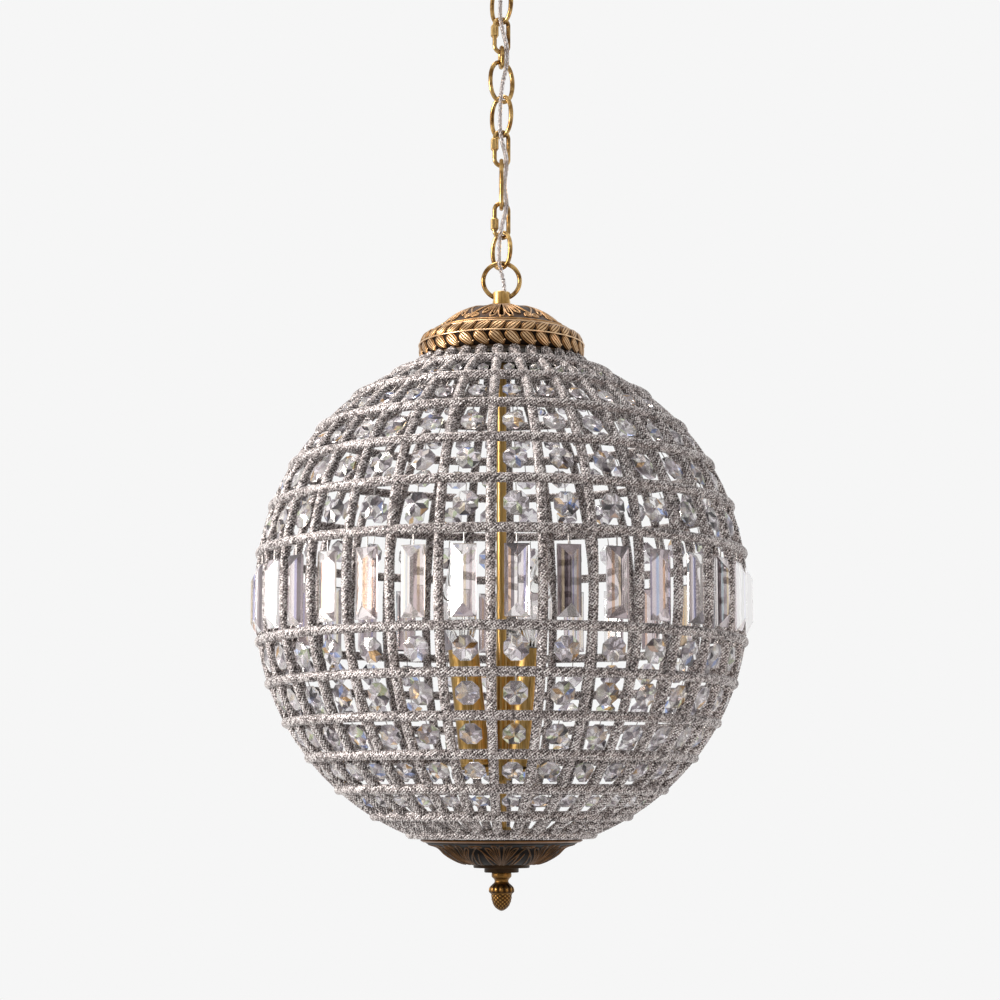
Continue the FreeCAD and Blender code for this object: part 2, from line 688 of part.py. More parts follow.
def lower_spider():
    """The lower plate, between the ribs' ends."""
    lean = math.tan(math.radians(FULL_TURN / 4 - RIB_BOTTOM_LATITUDE))
    edge = RIB_FOOT[0] - SPIDER_THICKNESS / 2 * lean - SEAT_GAP
    return spider(edge, LOWER_PLATE_LOW, LOWER_SPIDER_ARMS)


def stem():
    """The tube through the ball and the nuts that clamp the two plates on it."""
    rod = tube(STEM_RADIUS, STEM_BORE, STEM_LOW, CROWN_TOP + STEM_INTO_COLLAR - SEAT_GAP)
    nuts = []
    for low in (
        UPPER_PLATE_LOW - SEAT_GAP - STEM_NUT_HEIGHT,
        UPPER_PLATE_LOW + SPIDER_THICKNESS + SEAT_GAP,
        LOWER_PLATE_LOW - SEAT_GAP - STEM_NUT_HEIGHT,
        LOWER_PLATE_LOW + SPIDER_THICKNESS + SEAT_GAP,
        CLUSTER_TOP + SEAT_GAP,
        CLUSTER_TOP - CLUSTER_HEIGHT - SEAT_GAP - STEM_NUT_HEIGHT,
    ):
        nut = hexagon(STEM_NUT_ACROSS_FLATS, low, low + STEM_NUT_HEIGHT)
        bore = Part.makeCylinder(
            STEM_RADIUS + BORE_CLEARANCE, STEM_NUT_HEIGHT + 2 * OVERRUN, vec(0, 0, low - OVERRUN)
        )
        nuts.append(nut.cut(bore))
    return rod, nuts


# The dome's rise from its foot to its top: shares of its radius and of its height.
DOME_SHARES = ((1.0, 0.0), (0.85, 0.26), (0.77, 0.45), (0.65, 0.68), (0.5, 0.86), (0.31, 0.97), (0.16, 1.0))
# The leaf openings' inner and outer ends, as shares of the dome's radius.
LEAF_SHARES = (0.31, 0.86)


def crown_dome():
    """The openwork leaf dome under the collar."""
    rise = CROWN_TOP - DOME_FOOT
    outer = [(DOME_RADIUS * a, DOME_FOOT + rise * b) for a, b in DOME_SHARES]
    inner = [(r - CROWN_WALL / 2, z - CROWN_WALL) for r, z in outer]
    hub = STEM_RADIUS + BORE_CLEARANCE
    outside = turned(outer + [(hub, CROWN_TOP), (hub, DOME_LIP), (DOME_RADIUS, DOME_LIP)], len(outer))
    below = DOME_LIP - OVERRUN
    inside = turned(inner + [(0, CROWN_TOP - CROWN_WALL), (0, below), (inner[0][0], below)], len(inner))
    shell = outside.cut(inside)
    near, far = [DOME_RADIUS * share for share in LEAF_SHARES]
    middle = (near + far) / 2
    leaf = Part.Wire([
        Part.Arc(vec(near, 0, 0), vec(middle, LEAF_HALF_WIDTH, 0), vec(far, 0, 0)).toShape(),
        Part.Arc(vec(far, 0, 0), vec(middle, -LEAF_HALF_WIDTH, 0), vec(near, 0, 0)).toShape(),
    ])
    cutter = moved(Part.Face(leaf).extrude(vec(0, 0, CROWN_TOP - below)), z=below)
    for piece in ring_of(cutter, LEAVES):
        shell = shell.cut(piece)
    return shell


# The band's outer line from its lower lip to its top: how far in it lies, as a share of its
# bulge, and how high, as a share of its height.
BAND_SHARES = ((0.35, 0.0), (0.12, 0.12), (0.0, 0.4), (0.08, 0.68), (0.4, 0.9), (1.0, 1.0))


def laurel_band():
    """The round-shouldered band that the laurel is cast on."""
    outer = [(BAND_RADIUS - BAND_BULGE * a, BAND_LOW + BAND_HEIGHT * b) for a, b in BAND_SHARES]
    inner = [(r - BAND_WALL, z) for r, z in outer]
    return turned(outer + inner[::-1], len(outer))


# The bowl's outer line from under the rim to its flat middle: shares of the cup's radius and of
# the bowl's depth.
CUP_SHARES = ((0.94, 0.0), (0.915, 0.09), (0.79, 0.25), (0.7, 0.56), (0.59, 0.81), (0.48, 0.97), (0.4, 1.0))


def bottom_cup():
    """The shallow cast cup that closes the ball below, open at the top, with a stepped boss."""
    outer = [(CUP_RADIUS * a, CUP_RIM_LOW - CUP_BOWL_DEPTH * b) for a, b in CUP_SHARES]
    bowl = turned(outer + [(0, CUP_BOWL_LOW), (0, CUP_RIM_LOW)], len(outer))
    rim = tube(CUP_RADIUS, 0, CUP_RIM_LOW, CUP_RIM_TOP)
    step = tube(CUP_STEP_RADIUS, 0, CUP_BOWL_LOW - CUP_STEP_HEIGHT, CUP_BOWL_LOW)
    boss = tube(CUP_BOSS_RADIUS, 0, CUP_BOTTOM, CUP_BOWL_LOW)
    inner = [(r - CUP_WALL, z + CUP_WALL) for r, z in outer]
    above = CUP_RIM_TOP + OVERRUN
    inside = turned(inner + [(0, CUP_BOWL_LOW + CUP_WALL), (0, above), (inner[0][0], above)], len(inner))
    cup = fused([bowl, rim, step, boss]).cut(inside)
    bore = Part.makeCylinder(STEM_RADIUS + BORE_CLEARANCE, -CUP_BOTTOM, vec(0, 0, CUP_BOTTOM - OVERRUN))
    return cup.cut(bore)


# The finial from its head to its tip: a radius, its share that is used, and the share of the
# finial's length that lies above the point.
FINIAL_SHARES = (
    (FINIAL_HEAD_RADIUS, 1.0, 0.0), (FINIAL_HEAD_RADIUS, 1.0, 0.115),
    (FINIAL_NECK_RADIUS, 1.0, 0.18), (FINIAL_NECK_RADIUS, 1.0, 0.25),
    (FINIAL_CAP_RADIUS, 1.0, 0.4), (FINIAL_CAP_RADIUS, 1.0, 0.52),
    (FINIAL_BODY_RADIUS, 1.0, 0.56), (FINIAL_BODY_RADIUS, 0.92, 0.72),
    (FINIAL_BODY_RADIUS, 0.62, 0.88), (FINIAL_BODY_RADIUS, 0.3, 0.97),
)


def finial():
    """The acorn finial that screws on the stem's end and holds the cup up."""
    top = CUP_BOTTOM - SEAT_GAP
    outline = [(r * wide, top - FINIAL_LENGTH * deep) for r, wide, deep in FINIAL_SHARES]
    body = turned(outline + [(0, top - FINIAL_LENGTH), (0, top)])
    bore = Part.makeCylinder(
        STEM_RADIUS + BORE_CLEARANCE, STEM_INTO_FINIAL + OVERRUN, vec(0, 0, STEM_LOW - SEAT_GAP)
    )
    return body.cut(bore)


def lean_lamp(shape, number):
    """A lamp piece drawn upright about its own axis from zero, set in its place round the stem."""
    placed = spun(shape, LAMP_LEAN, AXIS_Y)
    placed = moved(placed, x=LAMP_FOOT_RADIUS, z=CLUSTER_TOP)
    return spun(placed, FIRST_LAMP_ANGLE + FULL_TURN / LAMPS * number)


def lamp_cluster():
    """The brass hub on the stem, its three arms and the pans that the candle covers stand in."""
    low = CLUSTER_TOP - CLUSTER_HEIGHT
    parts = [tube(CLUSTER_HUB_RADIUS, 0, low, CLUSTER_TOP)]
    for number in range(LAMPS):
        pan = turned([
            (0, -LAMP_PAN_HEIGHT), (LAMP_PAN_RADIUS - LAMP_PAN_LIP, -LAMP_PAN_HEIGHT),
            (LAMP_PAN_RADIUS, -LAMP_PAN_HEIGHT + LAMP_PAN_LIP), (LAMP_PAN_RADIUS, 0), (0, 0),
        ])
        parts.append(lean_lamp(pan, number))
        arm = Part.makeBox(
            LAMP_FOOT_RADIUS, CLUSTER_ARM_WIDTH, CLUSTER_ARM_HEIGHT,
            vec(0, -CLUSTER_ARM_WIDTH / 2, CLUSTER_TOP - LAMP_PAN_HEIGHT - CLUSTER_ARM_HEIGHT / 2),
        )
        parts.append(spun(arm, FIRST_LAMP_ANGLE + FULL_TURN / LAMPS * number))
    body = fused(parts)
    bore = Part.makeCylinder(
        STEM_RADIUS + BORE_CLEARANCE, 4 * CLUSTER_HEIGHT, vec(0, 0, low - CLUSTER_HEIGHT)
    )
    return body.cut(bore)


# The bulb's glass from its neck to its widest place: shares of the swell from neck to widest
# and of the glass's length. Then on to its tip: shares of the widest radius and of the length.
BULB_SWELL_SHARES = ((0.0, 0.0), (0.12, 0.04), (0.62, 0.14), (1.0, 0.34))
BULB_TAPER_SHARES = ((0.86, 0.56), (0.44, 0.8), (0.2, 0.93), (0.08, 1.0))


def lamp_parts(number):
    """One lamp: candle cover, lampholder, the bulb's metal cap and its glass."""
    cover = tube(COVER_RADIUS, COVER_RADIUS - COVER_WALL, SEAT_GAP, COVER_LENGTH)
    holder_top = COVER_LENGTH - HOLDER_BELOW_COVER
    holder_low = holder_top - HOLDER_LENGTH
    holder = turned([
        (0, SEAT_GAP), (HOLDER_ROD_RADIUS, SEAT_GAP), (HOLDER_ROD_RADIUS, holder_low),
        (HOLDER_RADIUS, holder_low), (HOLDER_RADIUS, holder_top), (0, holder_top),
    ])
    socket_low = holder_top - BULB_CAP_LENGTH
    holder = holder.cut(Part.makeCylinder(
        BULB_CAP_RADIUS + BULB_CAP_CLEARANCE, BULB_CAP_LENGTH + OVERRUN, vec(0, 0, socket_low)
    ))
    cap_high = holder_top + HOLDER_BELOW_COVER
    cap = tube(BULB_CAP_RADIUS, 0, socket_low + SEAT_GAP, cap_high)
    glass_low = cap_high
    swell = BULB_RADIUS - BULB_NECK_RADIUS
    outline = [(BULB_NECK_RADIUS + swell * a, glass_low + BULB_LENGTH * b) for a, b in BULB_SWELL_SHARES]
    outline += [(BULB_RADIUS * a, glass_low + BULB_LENGTH * b) for a, b in BULB_TAPER_SHARES]
    tip = glass_low + BULB_LENGTH
    glass = turned(outline + [(0, tip), (0, glass_low)], len(outline))
    word = number + 1
    return {
        "candle_cover_%d" % word: lean_lamp(cover, number),
        "lampholder_%d" % word: lean_lamp(holder, number),
        "bulb_cap_%d" % word: lean_lamp(cap, number),
        "bulb_%d" % word: lean_lamp(glass, number),
    }


def power_cord():
    """The clear flex woven down the chain: straight runs joined by tangent arcs."""
    points = [vec(x, y, PLACES[link] + rise) for x, y, link, rise in CORD_ROUTE]
    edges = []
    radii = []
    start = points[0]
    for before, corner, after in zip(points, points[1:], points[2:]):
        inward = before - corner
        outward = after - corner
        turn = math.pi - inward.getAngle(outward)
        shorter = min(inward.Length, outward.Length)
        cut_back = CORD_BEND_SHARE * shorter
        radii.append(cut_back / math.tan(turn / 2))
        first = corner + inward.normalize() * cut_back
        last = corner + outward.normalize() * cut_back
        centre_way = (inward + outward).normalize()
        depth = radii[-1] / math.cos(turn / 2) - radii[-1]
        edges.append(Part.makeLine(start, first))
        edges.append(Part.Arc(first, corner + centre_way * depth, last).toShape())
        start = last
    edges.append(Part.makeLine(start, points[-1]))
    path = Part.Wire(edges)
    section = Part.Wire(Part.makeCircle(CORD_DIAMETER / 2, points[0], points[1] - points[0]))
    cord = path.makePipeShell([section], True, False)
    print("cord length %.1f, tightest bend %.1f" % (path.Length, min(radii)))
    print("cord volume over section times length: %.4f"
          % (cord.Volume / (math.pi * CORD_DIAMETER ** 2 / 4 * path.Length)))
    return cord


def assemble():
    """Every sub-part by name, in the chandelier's own frame."""
    nodes = {"ceiling_canopy": ceiling_canopy(), "crossbar": crossbar()}
    nodes.update(canopy_fittings())
    top_collar = spun(collar(CANOPY_COLLAR_HEIGHT, CANOPY_EYE_FROM_SEAT), FULL_TURN / 2, AXIS_X)
    top_collar = spun(top_collar, CANOPY_RING_YAW + FULL_TURN / 2)
    nodes["canopy_collar"] = moved(top_collar, z=-CANOPY_HEIGHT)
    nodes["canopy_ring"] = moved(spun(plain_ring(), CANOPY_RING_YAW), z=CANOPY_RING_Z)
    nodes.update(chain())
    nodes["hanging_ring"] = moved(plain_ring(), z=PLACES["hanging_ring"])
    nodes["stem_collar"] = on_ball(moved(collar(STEM_COLLAR_HEIGHT, STEM_EYE_FROM_SEAT), z=CROWN_TOP))
    nodes["power_cord"] = power_cord()

    rod, nuts = stem()
    upper_rings, lower_rings = frame_rings()
    ball = {
        "stem_tube": rod,
        "stem_nuts": nuts,
        "crown_dome": crown_dome(),
        "laurel_band": laurel_band(),
        "upper_spider": spider(UPPER_PLATE_RADIUS, UPPER_PLATE_LOW, UPPER_SPIDER_ARMS),
        "lower_spider": lower_spider(),
        "frame_ribs": frame_ribs(),
        "upper_rings": upper_rings,
        "lower_rings": lower_rings,
        "belt_prisms": belt_prisms(),
        "prism_pins": prism_pins(),
        "lamp_cluster": lamp_cluster(),
        "bottom_cup": bottom_cup(),
        "finial": finial(),
    }
    ball.update(octagon_rows())
    ball.update(octagon_wires())
    for number in range(LAMPS):
        ball.update(lamp_parts(number))
    for name, shape in ball.items():
        if isinstance(shape, list):
            shape = Part.makeCompound(shape)
        nodes[name] = on_ball(shape)
    return nodes


def main():
    """Build every sub-part, report it and write it."""
    os.makedirs("parts", exist_ok=True)
    for name, shape in assemble().items():
        solids = shape.Solids
        volume = sum(s.Volume for s in solids)
        print("%-18s solids %3d  volume %10.1f  valid %s" % (name, len(solids), volume, shape.isValid()))
        shape.exportStep("parts/%s.step" % name)
    print("ball centre at %.2f" % BALL_Z)
    print("places", {name: round(z, 2) for name, z in PLACES.items()})


main()
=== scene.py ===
# %% [markdown]
# # A crystal ball chandelier
# This lamp hangs on a brass chain. Its ball is a cage of upright ribs and level rings, each wound
# with strings of small glass beads, and every window of the cage holds a cut crystal. The
# construction is already fixed, piece by piece, and is loaded here as a frame. What this file adds
# is what the eye meets: beads, facets, cast leaves, worn brass, and the light to see them by.

# %% Load the fixed construction
import json
import math
import random

import bpy
from mathutils import Matrix, Vector

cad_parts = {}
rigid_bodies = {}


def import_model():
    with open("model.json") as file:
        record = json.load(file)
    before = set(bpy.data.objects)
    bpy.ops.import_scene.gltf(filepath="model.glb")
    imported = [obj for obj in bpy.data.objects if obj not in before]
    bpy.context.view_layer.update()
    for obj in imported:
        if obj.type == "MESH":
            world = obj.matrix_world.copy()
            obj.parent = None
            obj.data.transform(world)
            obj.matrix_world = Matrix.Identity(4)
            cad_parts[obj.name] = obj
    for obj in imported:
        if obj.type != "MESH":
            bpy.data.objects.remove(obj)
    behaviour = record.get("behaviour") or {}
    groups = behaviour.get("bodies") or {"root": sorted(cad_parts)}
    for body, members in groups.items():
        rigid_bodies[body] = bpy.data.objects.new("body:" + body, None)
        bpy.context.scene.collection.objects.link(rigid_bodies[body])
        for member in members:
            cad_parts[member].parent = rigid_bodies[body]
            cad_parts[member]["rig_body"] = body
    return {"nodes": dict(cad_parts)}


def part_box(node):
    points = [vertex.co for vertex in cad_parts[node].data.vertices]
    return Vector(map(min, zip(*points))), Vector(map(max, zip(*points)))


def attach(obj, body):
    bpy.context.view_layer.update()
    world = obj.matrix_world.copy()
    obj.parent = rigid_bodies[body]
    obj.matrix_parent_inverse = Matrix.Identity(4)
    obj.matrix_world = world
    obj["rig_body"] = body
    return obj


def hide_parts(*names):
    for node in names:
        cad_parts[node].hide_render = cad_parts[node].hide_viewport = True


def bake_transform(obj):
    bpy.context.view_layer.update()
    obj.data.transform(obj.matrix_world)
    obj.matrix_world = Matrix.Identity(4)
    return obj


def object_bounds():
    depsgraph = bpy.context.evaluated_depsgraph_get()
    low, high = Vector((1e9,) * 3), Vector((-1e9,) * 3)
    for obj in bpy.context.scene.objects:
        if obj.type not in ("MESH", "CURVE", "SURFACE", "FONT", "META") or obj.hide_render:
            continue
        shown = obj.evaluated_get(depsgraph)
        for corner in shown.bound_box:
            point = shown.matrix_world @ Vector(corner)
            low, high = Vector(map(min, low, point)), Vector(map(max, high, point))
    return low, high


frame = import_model()
nodes = frame["nodes"]
frame_low, frame_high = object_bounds()
print("nodes", len(nodes), "box", [round(v, 4) for v in (*frame_low, *frame_high)])

# %% [markdown]
# ## Sizes
# Everything here is in metres, so a size in millimetres is written as a number times `MM`. The
# ball's centre is read from the frame, a known way above the lower end of the tube through it.
# Heights "about the ball" are measured from that centre, the way a maker would mark the cage.

# %% Sizes that the pieces share
MM = 0.001
FULL_TURN = 2 * math.pi
COLUMNS = 32
FIRST_RIB = math.radians(-92.4)
CAGE_RADIUS = 240 * MM
BELT_HALF_SPREAD = 6.5 * MM
ROPE_RADIUS = 5 * MM
RING_PROUD = 2.5 * MM
UPPER_RINGS = (8.5, 19.9, 30.5, 41.2, 52.6, 63.4)
LOWER_RINGS = (9.1, 19.1, 29.0, 38.7, 48.8, 59.0, 68.3)
RIB_TOP = 70.5
RIB_BOTTOM = 69.5
STEM_BELOW_BALL = 282.3 * MM

BALL_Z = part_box("stem_tube")[0].z + STEM_BELOW_BALL
print("ball centre at", round(BALL_Z / MM, 1), "mm")


def on_cage(latitude, half, radius=CAGE_RADIUS):
    """Radius and height on the cage at a latitude in degrees: half is 1 above the belt, -1 below."""
    turn = math.radians(latitude)
    return radius * math.cos(turn), BALL_Z + half * (BELT_HALF_SPREAD + radius * math.sin(turn))


# %% [markdown]
# ## Small tools
# A few helpers carry the whole file. One turns a colour from the hex code a designer would write
# into the linear light that the renderer counts in. One adds a shader node with its settings and
# links. Others make a mesh piece from points and faces, because nearly all of this lamp is easier
# to place by a formula than by hand.

# %% Colour and nodes
SRGB_KNEE = 0.04045
SRGB_SLOPE = 12.92
SRGB_SHIFT = 0.055
SRGB_POWER = 2.4
BYTE = 255


def linear(hex_code):
    """Linear RGBA from an sRGB hex code."""
    channels = []
    for start in (1, 3, 5):
        value = int(hex_code[start:start + 2], 16) / BYTE
        curved = ((value + SRGB_SHIFT) / (1 + SRGB_SHIFT)) ** SRGB_POWER
        channels.append(value / SRGB_SLOPE if value <= SRGB_KNEE else curved)
    return (*channels, 1.0)


def add_node(tree, kind, settings=None, links=None):
    """One shader node: its properties and socket values are set, and sources linked to its inputs."""
    node = tree.nodes.new(kind)
    for key, value in (settings or {}).items():
        if isinstance(key, int) or key in node.inputs:
            node.inputs[key].default_value = value
        else:
            setattr(node, key, value)
    for key, source in (links or {}).items():
        tree.links.new(source, node.inputs[key])
    return node


def new_material(name):
    """An empty material and its node tree."""
    material = bpy.data.materials.new(name)
    material.use_nodes = True
    material.node_tree.nodes.clear()
    return material, material.node_tree


def set_stops(ramp, stops):
    """Puts (position, hex colour) stops on a colour ramp."""
    elements = ramp.color_ramp.elements
    while len(elements) < len(stops):
        elements.new(0.5)
    for element, (place, hex_code) in zip(elements, stops):
        element.position = place
        element.color = linear(hex_code)
    return ramp.outputs["Color"]


print("middle grey is", [round(value, 3) for value in linear("#808080")])


# %% Meshes
def polar(radius, angle, height=0.0):
    """The point at a radius and an angle round the upright axis."""
    return Vector((radius * math.cos(angle), radius * math.sin(angle), height))


def mesh_piece(name, points, faces, material, smooth=True, values=None):
    """A mesh object from points in metres, with one material and named per-point values."""
    mesh = bpy.data.meshes.new(name)
    mesh.from_pydata(points, [], faces)
    mesh.polygons.foreach_set("use_smooth", [smooth] * len(mesh.polygons))
    for label, numbers in (values or {}).items():
        mesh.attributes.new(label, "FLOAT", "POINT").data.foreach_set("value", numbers)
    mesh.materials.append(material)
    piece = bpy.data.objects.new(name, mesh)
    bpy.context.scene.collection.objects.link(piece)
    return piece


def joined(parts):
    """One list of points, one of faces and one of values from several (points, faces, values)."""
    points, faces, values = [], [], []
    for part_points, part_faces, part_values in parts:
        base = len(points)
        points += part_points
        faces += [tuple(index + base for index in face) for face in part_faces]
        values += part_values
    return points, faces, values


def grid_faces(rows, columns, closed, turned_over=False, open_columns=False):
    """Faces between neighbouring rows of points, `columns` to a row; a closed grid meets itself."""
    faces = []
    for i in range(rows if closed else rows - 1):
        here, there = i * columns, (i + 1) % rows * columns
        for j in range(columns - 1 if open_columns else columns):
            after = (j + 1) % columns
            a, b, c, d = here + j, here + after, there + after, there + j
            faces.append((a, d, c, b) if turned_over else (a, b, c, d))
    return faces


# %% [markdown]
# ## Camera
# The photograph looks slightly up at the ball, from near the height of its lower end and a little
# over two metres away, through a long lens, which is why the rings curve gently and the far ones
# show through. The camera stands 1.5 mm to the left of the axis, because the chain is that much
# right of the middle of the picture.

# %% Camera
CAMERA_DISTANCE = 2.221
CAMERA_BELOW_BALL = 0.2045
CAMERA_PITCH = 0.136
CAMERA_LEFT = 1.5 * MM
FOCAL_PIXELS = 2235
IMAGE_PIXELS = 1000
SENSOR = 36.0

camera_data = bpy.data.cameras.new("camera")
camera_data.sensor_width = SENSOR
camera_data.lens = SENSOR * FOCAL_PIXELS / IMAGE_PIXELS
camera = bpy.data.objects.new("camera", camera_data)
camera.location = (-CAMERA_LEFT, -CAMERA_DISTANCE, BALL_Z - CAMERA_BELOW_BALL)
camera.rotation_euler = (math.pi / 2 + CAMERA_PITCH, 0, 0)
bpy.context.scene.collection.objects.link(camera)
bpy.context.scene.camera = camera
bpy.context.scene.view_settings.view_transform = "Standard"
print("lens", round(camera_data.lens, 1), "mm")

# %% [markdown]
# ## Light and background
# Cut glass has no colour of its own to show: it shows the room. So the room matters. The surround
# is a plain pale grey for the camera, for reflections and for what is seen through glass, while
# the light that falls on the lamp from it is weaker. A big soft light on the left makes the left
# side of the ball paler than the right, as in the photograph, one above lights the crown, and a
# small warm one on the right keeps that side alive.

# %% World
SURROUND = "#f6f6f6"
FALLING_LIGHT = "#efedea"
FALLING_STRENGTH = 0.55

world = bpy.data.worlds.new("studio")
bpy.context.scene.world = world
world.use_nodes = True
tree = world.node_tree
tree.nodes.clear()
path = add_node(tree, "ShaderNodeLightPath")
mirror_or_glass = add_node(
    tree, "ShaderNodeMath", {"operation": "MAXIMUM"},
    {0: path.outputs["Is Glossy Ray"], 1: path.outputs["Is Transmission Ray"]},
)
seen = add_node(
    tree, "ShaderNodeMath", {"operation": "MAXIMUM"},
    {0: path.outputs["Is Camera Ray"], 1: mirror_or_glass.outputs[0]},
)
falling = add_node(
    tree, "ShaderNodeBackground", {"Color": linear(FALLING_LIGHT), "Strength": FALLING_STRENGTH}
)
shown = add_node(tree, "ShaderNodeBackground", {"Color": linear(SURROUND), "Strength": 1.0})
mixed = add_node(
    tree, "ShaderNodeMixShader", None,
    {0: seen.outputs[0], 1: falling.outputs[0], 2: shown.outputs[0]},
)
add_node(tree, "ShaderNodeOutputWorld", None, {"Surface": mixed.outputs[0]})
print("surround", SURROUND)

# %% Lights
AIM = Vector((0, 0, BALL_Z))
LIGHTS = {
    "key_left": ((-2.5, -0.9, 0.6), 1.1, 88, "#fff8f2"),
    "top_soft": ((-0.5, 0.3, 2.3), 0.9, 24, "#fff3ea"),
    "fill_right": ((1.9, -1.6, -0.3), 0.5, 6, "#ffdcc6"),
}

for name, (spot, size, watts, hex_code) in LIGHTS.items():
    data = bpy.data.lights.new(name, "AREA")
    data.size = size
    data.energy = watts
    data.color = linear(hex_code)[:3]
    light = bpy.data.objects.new(name, data)
    light.location = AIM + Vector(spot)
    light.rotation_euler = (-Vector(spot)).to_track_quat("-Z", "Y").to_euler()
    bpy.context.scene.collection.objects.link(light)
print("lights", list(LIGHTS))

# %% [markdown]
# ## Floor and dark panels
# A pale floor takes the lamp's shadow. It fades out towards its edge and shows from above only, so
# that it never hides the lamp. Three dark panels, to the left, to the right and behind the camera,
# give metal and facets something dark to mirror. The camera itself doesn't see them.

# %% Floor
FLOOR_DROP = 0.36
FLOOR_RADIUS = 2.4
FLOOR_FADE_START = 1.0
FLOOR_FADE_END = 2.352
FLOOR_SIDES = 96
FLOOR_COLOUR = "#f1f0ee"

pale_floor, tree = new_material("pale_floor")
place = add_node(tree, "ShaderNodeTexCoord")
across = add_node(tree, "ShaderNodeVectorMath", {"operation": "LENGTH"}, {0: place.outputs["Object"]})
fade = add_node(
    tree, "ShaderNodeMapRange",
    {"From Min": FLOOR_FADE_START, "From Max": FLOOR_FADE_END, "To Min": 1.0, "To Max": 0.0,
     "interpolation_type": "SMOOTHSTEP"},
    {"Value": across.outputs["Value"]},
)
matt = add_node(tree, "ShaderNodeBsdfDiffuse", {"Color": linear(FLOOR_COLOUR)})
nothing = add_node(tree, "ShaderNodeBsdfTransparent")
faded = add_node(
    tree, "ShaderNodeMixShader", None,
    {0: fade.outputs["Result"], 1: nothing.outputs[0], 2: matt.outputs[0]},
)
face = add_node(tree, "ShaderNodeNewGeometry")
one_sided = add_node(
    tree, "ShaderNodeMixShader", None,
    {0: face.outputs["Backfacing"], 1: faded.outputs[0], 2: nothing.outputs[0]},
)
add_node(tree, "ShaderNodeOutputMaterial", None, {"Surface": one_sided.outputs[0]})

rim = [polar(FLOOR_RADIUS, FULL_TURN * k / FLOOR_SIDES) for k in range(FLOOR_SIDES)]
floor = mesh_piece("floor", rim, [tuple(range(FLOOR_SIDES))], pale_floor)
floor.location = (0, 0, frame_low.z - FLOOR_DROP)
floor.visible_glossy = False
floor.visible_transmission = False
print("floor at", round(floor.location.z, 3))

# %% Dark panels
PANEL_COLOUR = "#4b4442"
PANEL_DISTANCE = 2.6
PANEL_HALF_WIDTH = 0.42
PANEL_HALF_HEIGHT = 1.5
PANEL_DEGREES = {"panel_left": -128, "panel_right": -38, "panel_camera": -86}

dark_panel, tree = new_material("dark_panel")
matt = add_node(tree, "ShaderNodeBsdfDiffuse", {"Color": linear(PANEL_COLOUR)})
add_node(tree, "ShaderNodeOutputMaterial", None, {"Surface": matt.outputs[0]})
tall = Vector((0, 0, PANEL_HALF_HEIGHT))
for name, degrees in PANEL_DEGREES.items():
    turn = math.radians(degrees)
    centre = polar(1, turn) * PANEL_DISTANCE + AIM
    side = Vector((-math.sin(turn), math.cos(turn), 0)) * PANEL_HALF_WIDTH
    corners = [centre - side - tall, centre + side - tall, centre + side + tall, centre - side + tall]
    panel = mesh_piece(name, corners, [(0, 1, 2, 3)], dark_panel, smooth=False)
    panel.visible_camera = False
    panel.visible_diffuse = False
    panel.visible_shadow = False
print("panels", list(PANEL_DEGREES))

# %% [markdown]
# ## Antique brass
# The chain, the rings and the collars are brass wire and turned brass, darkened in a bath and then
# rubbed back and lacquered. The eye reads that as warm gold on the proud places with brown left in
# the hollows and slow cloudy changes between them. A metal keeps the default index of refraction.
# Two noises make it: one of centimetres for the clouds, one of under a millimetre for the grain.

# %% Antique brass
BRASS_GRAIN_MM = 0.8


def worn_brass(name, dark, middle, bright, cloud_mm, roughness):
    """Darkened and rubbed brass: three tones mixed by a slow cloud and by how proud the surface is."""
    material, tree = new_material(name)
    place = add_node(tree, "ShaderNodeTexCoord")
    cloud = add_node(
        tree, "ShaderNodeTexNoise", {"Scale": 1 / (cloud_mm * MM), "Detail": 4.0, "Roughness": 0.6},
        {"Vector": place.outputs["Object"]},
    )
    shape = add_node(tree, "ShaderNodeNewGeometry")
    proud = add_node(
        tree, "ShaderNodeMapRange", {"From Min": 0.44, "From Max": 0.58, "To Min": -0.25, "To Max": 0.3},
        {"Value": shape.outputs["Pointiness"]},
    )
    wear = add_node(
        tree, "ShaderNodeMath", {"operation": "ADD"}, {0: cloud.outputs["Fac"], 1: proud.outputs["Result"]}
    )
    ramp = add_node(tree, "ShaderNodeValToRGB", None, {"Fac": wear.outputs[0]})
    colour = set_stops(ramp, ((0.25, dark), (0.5, middle), (0.78, bright)))
    grain = add_node(
        tree, "ShaderNodeTexNoise", {"Scale": 1 / (BRASS_GRAIN_MM * MM), "Detail": 2.0},
        {"Vector": place.outputs["Object"]},
    )
    rough = add_node(
        tree, "ShaderNodeMapRange", {"To Min": roughness - 0.07, "To Max": roughness + 0.12},
        {"Value": grain.outputs["Fac"]},
    )
    dent = add_node(
        tree, "ShaderNodeBump", {"Strength": 0.12, "Distance": 0.1 * MM}, {"Height": grain.outputs["Fac"]}
    )
    metal = add_node(
        tree, "ShaderNodeBsdfPrincipled", {"Metallic": 1.0},
        {"Base Color": colour, "Roughness": rough.outputs["Result"], "Normal": dent.outputs["Normal"]},
    )
    add_node(tree, "ShaderNodeOutputMaterial", None, {"Surface": metal.outputs[0]})
    return material


antique_brass = worn_brass("antique_brass", "#2a1709", "#7b5a30", "#d8b476", 12, 0.2)
collar_brass = worn_brass("collar_brass", "#83602f", "#bd985c", "#e6cb96", 20, 0.34)
print("brass in", antique_brass.name, "and", collar_brass.name)

# %% [markdown]
# ## Satin brass
# The tube through the ball and the three candle covers are drawn brass tube, polished with a fine
# belt along their length and lacquered. That gives a clean yellow metal with soft streaks that run
# up the tube, so the noise is squeezed: short across the tube and long along it.

# %% Satin brass
STREAK_ACROSS_MM = 1.2
STREAK_ALONG_MM = 40

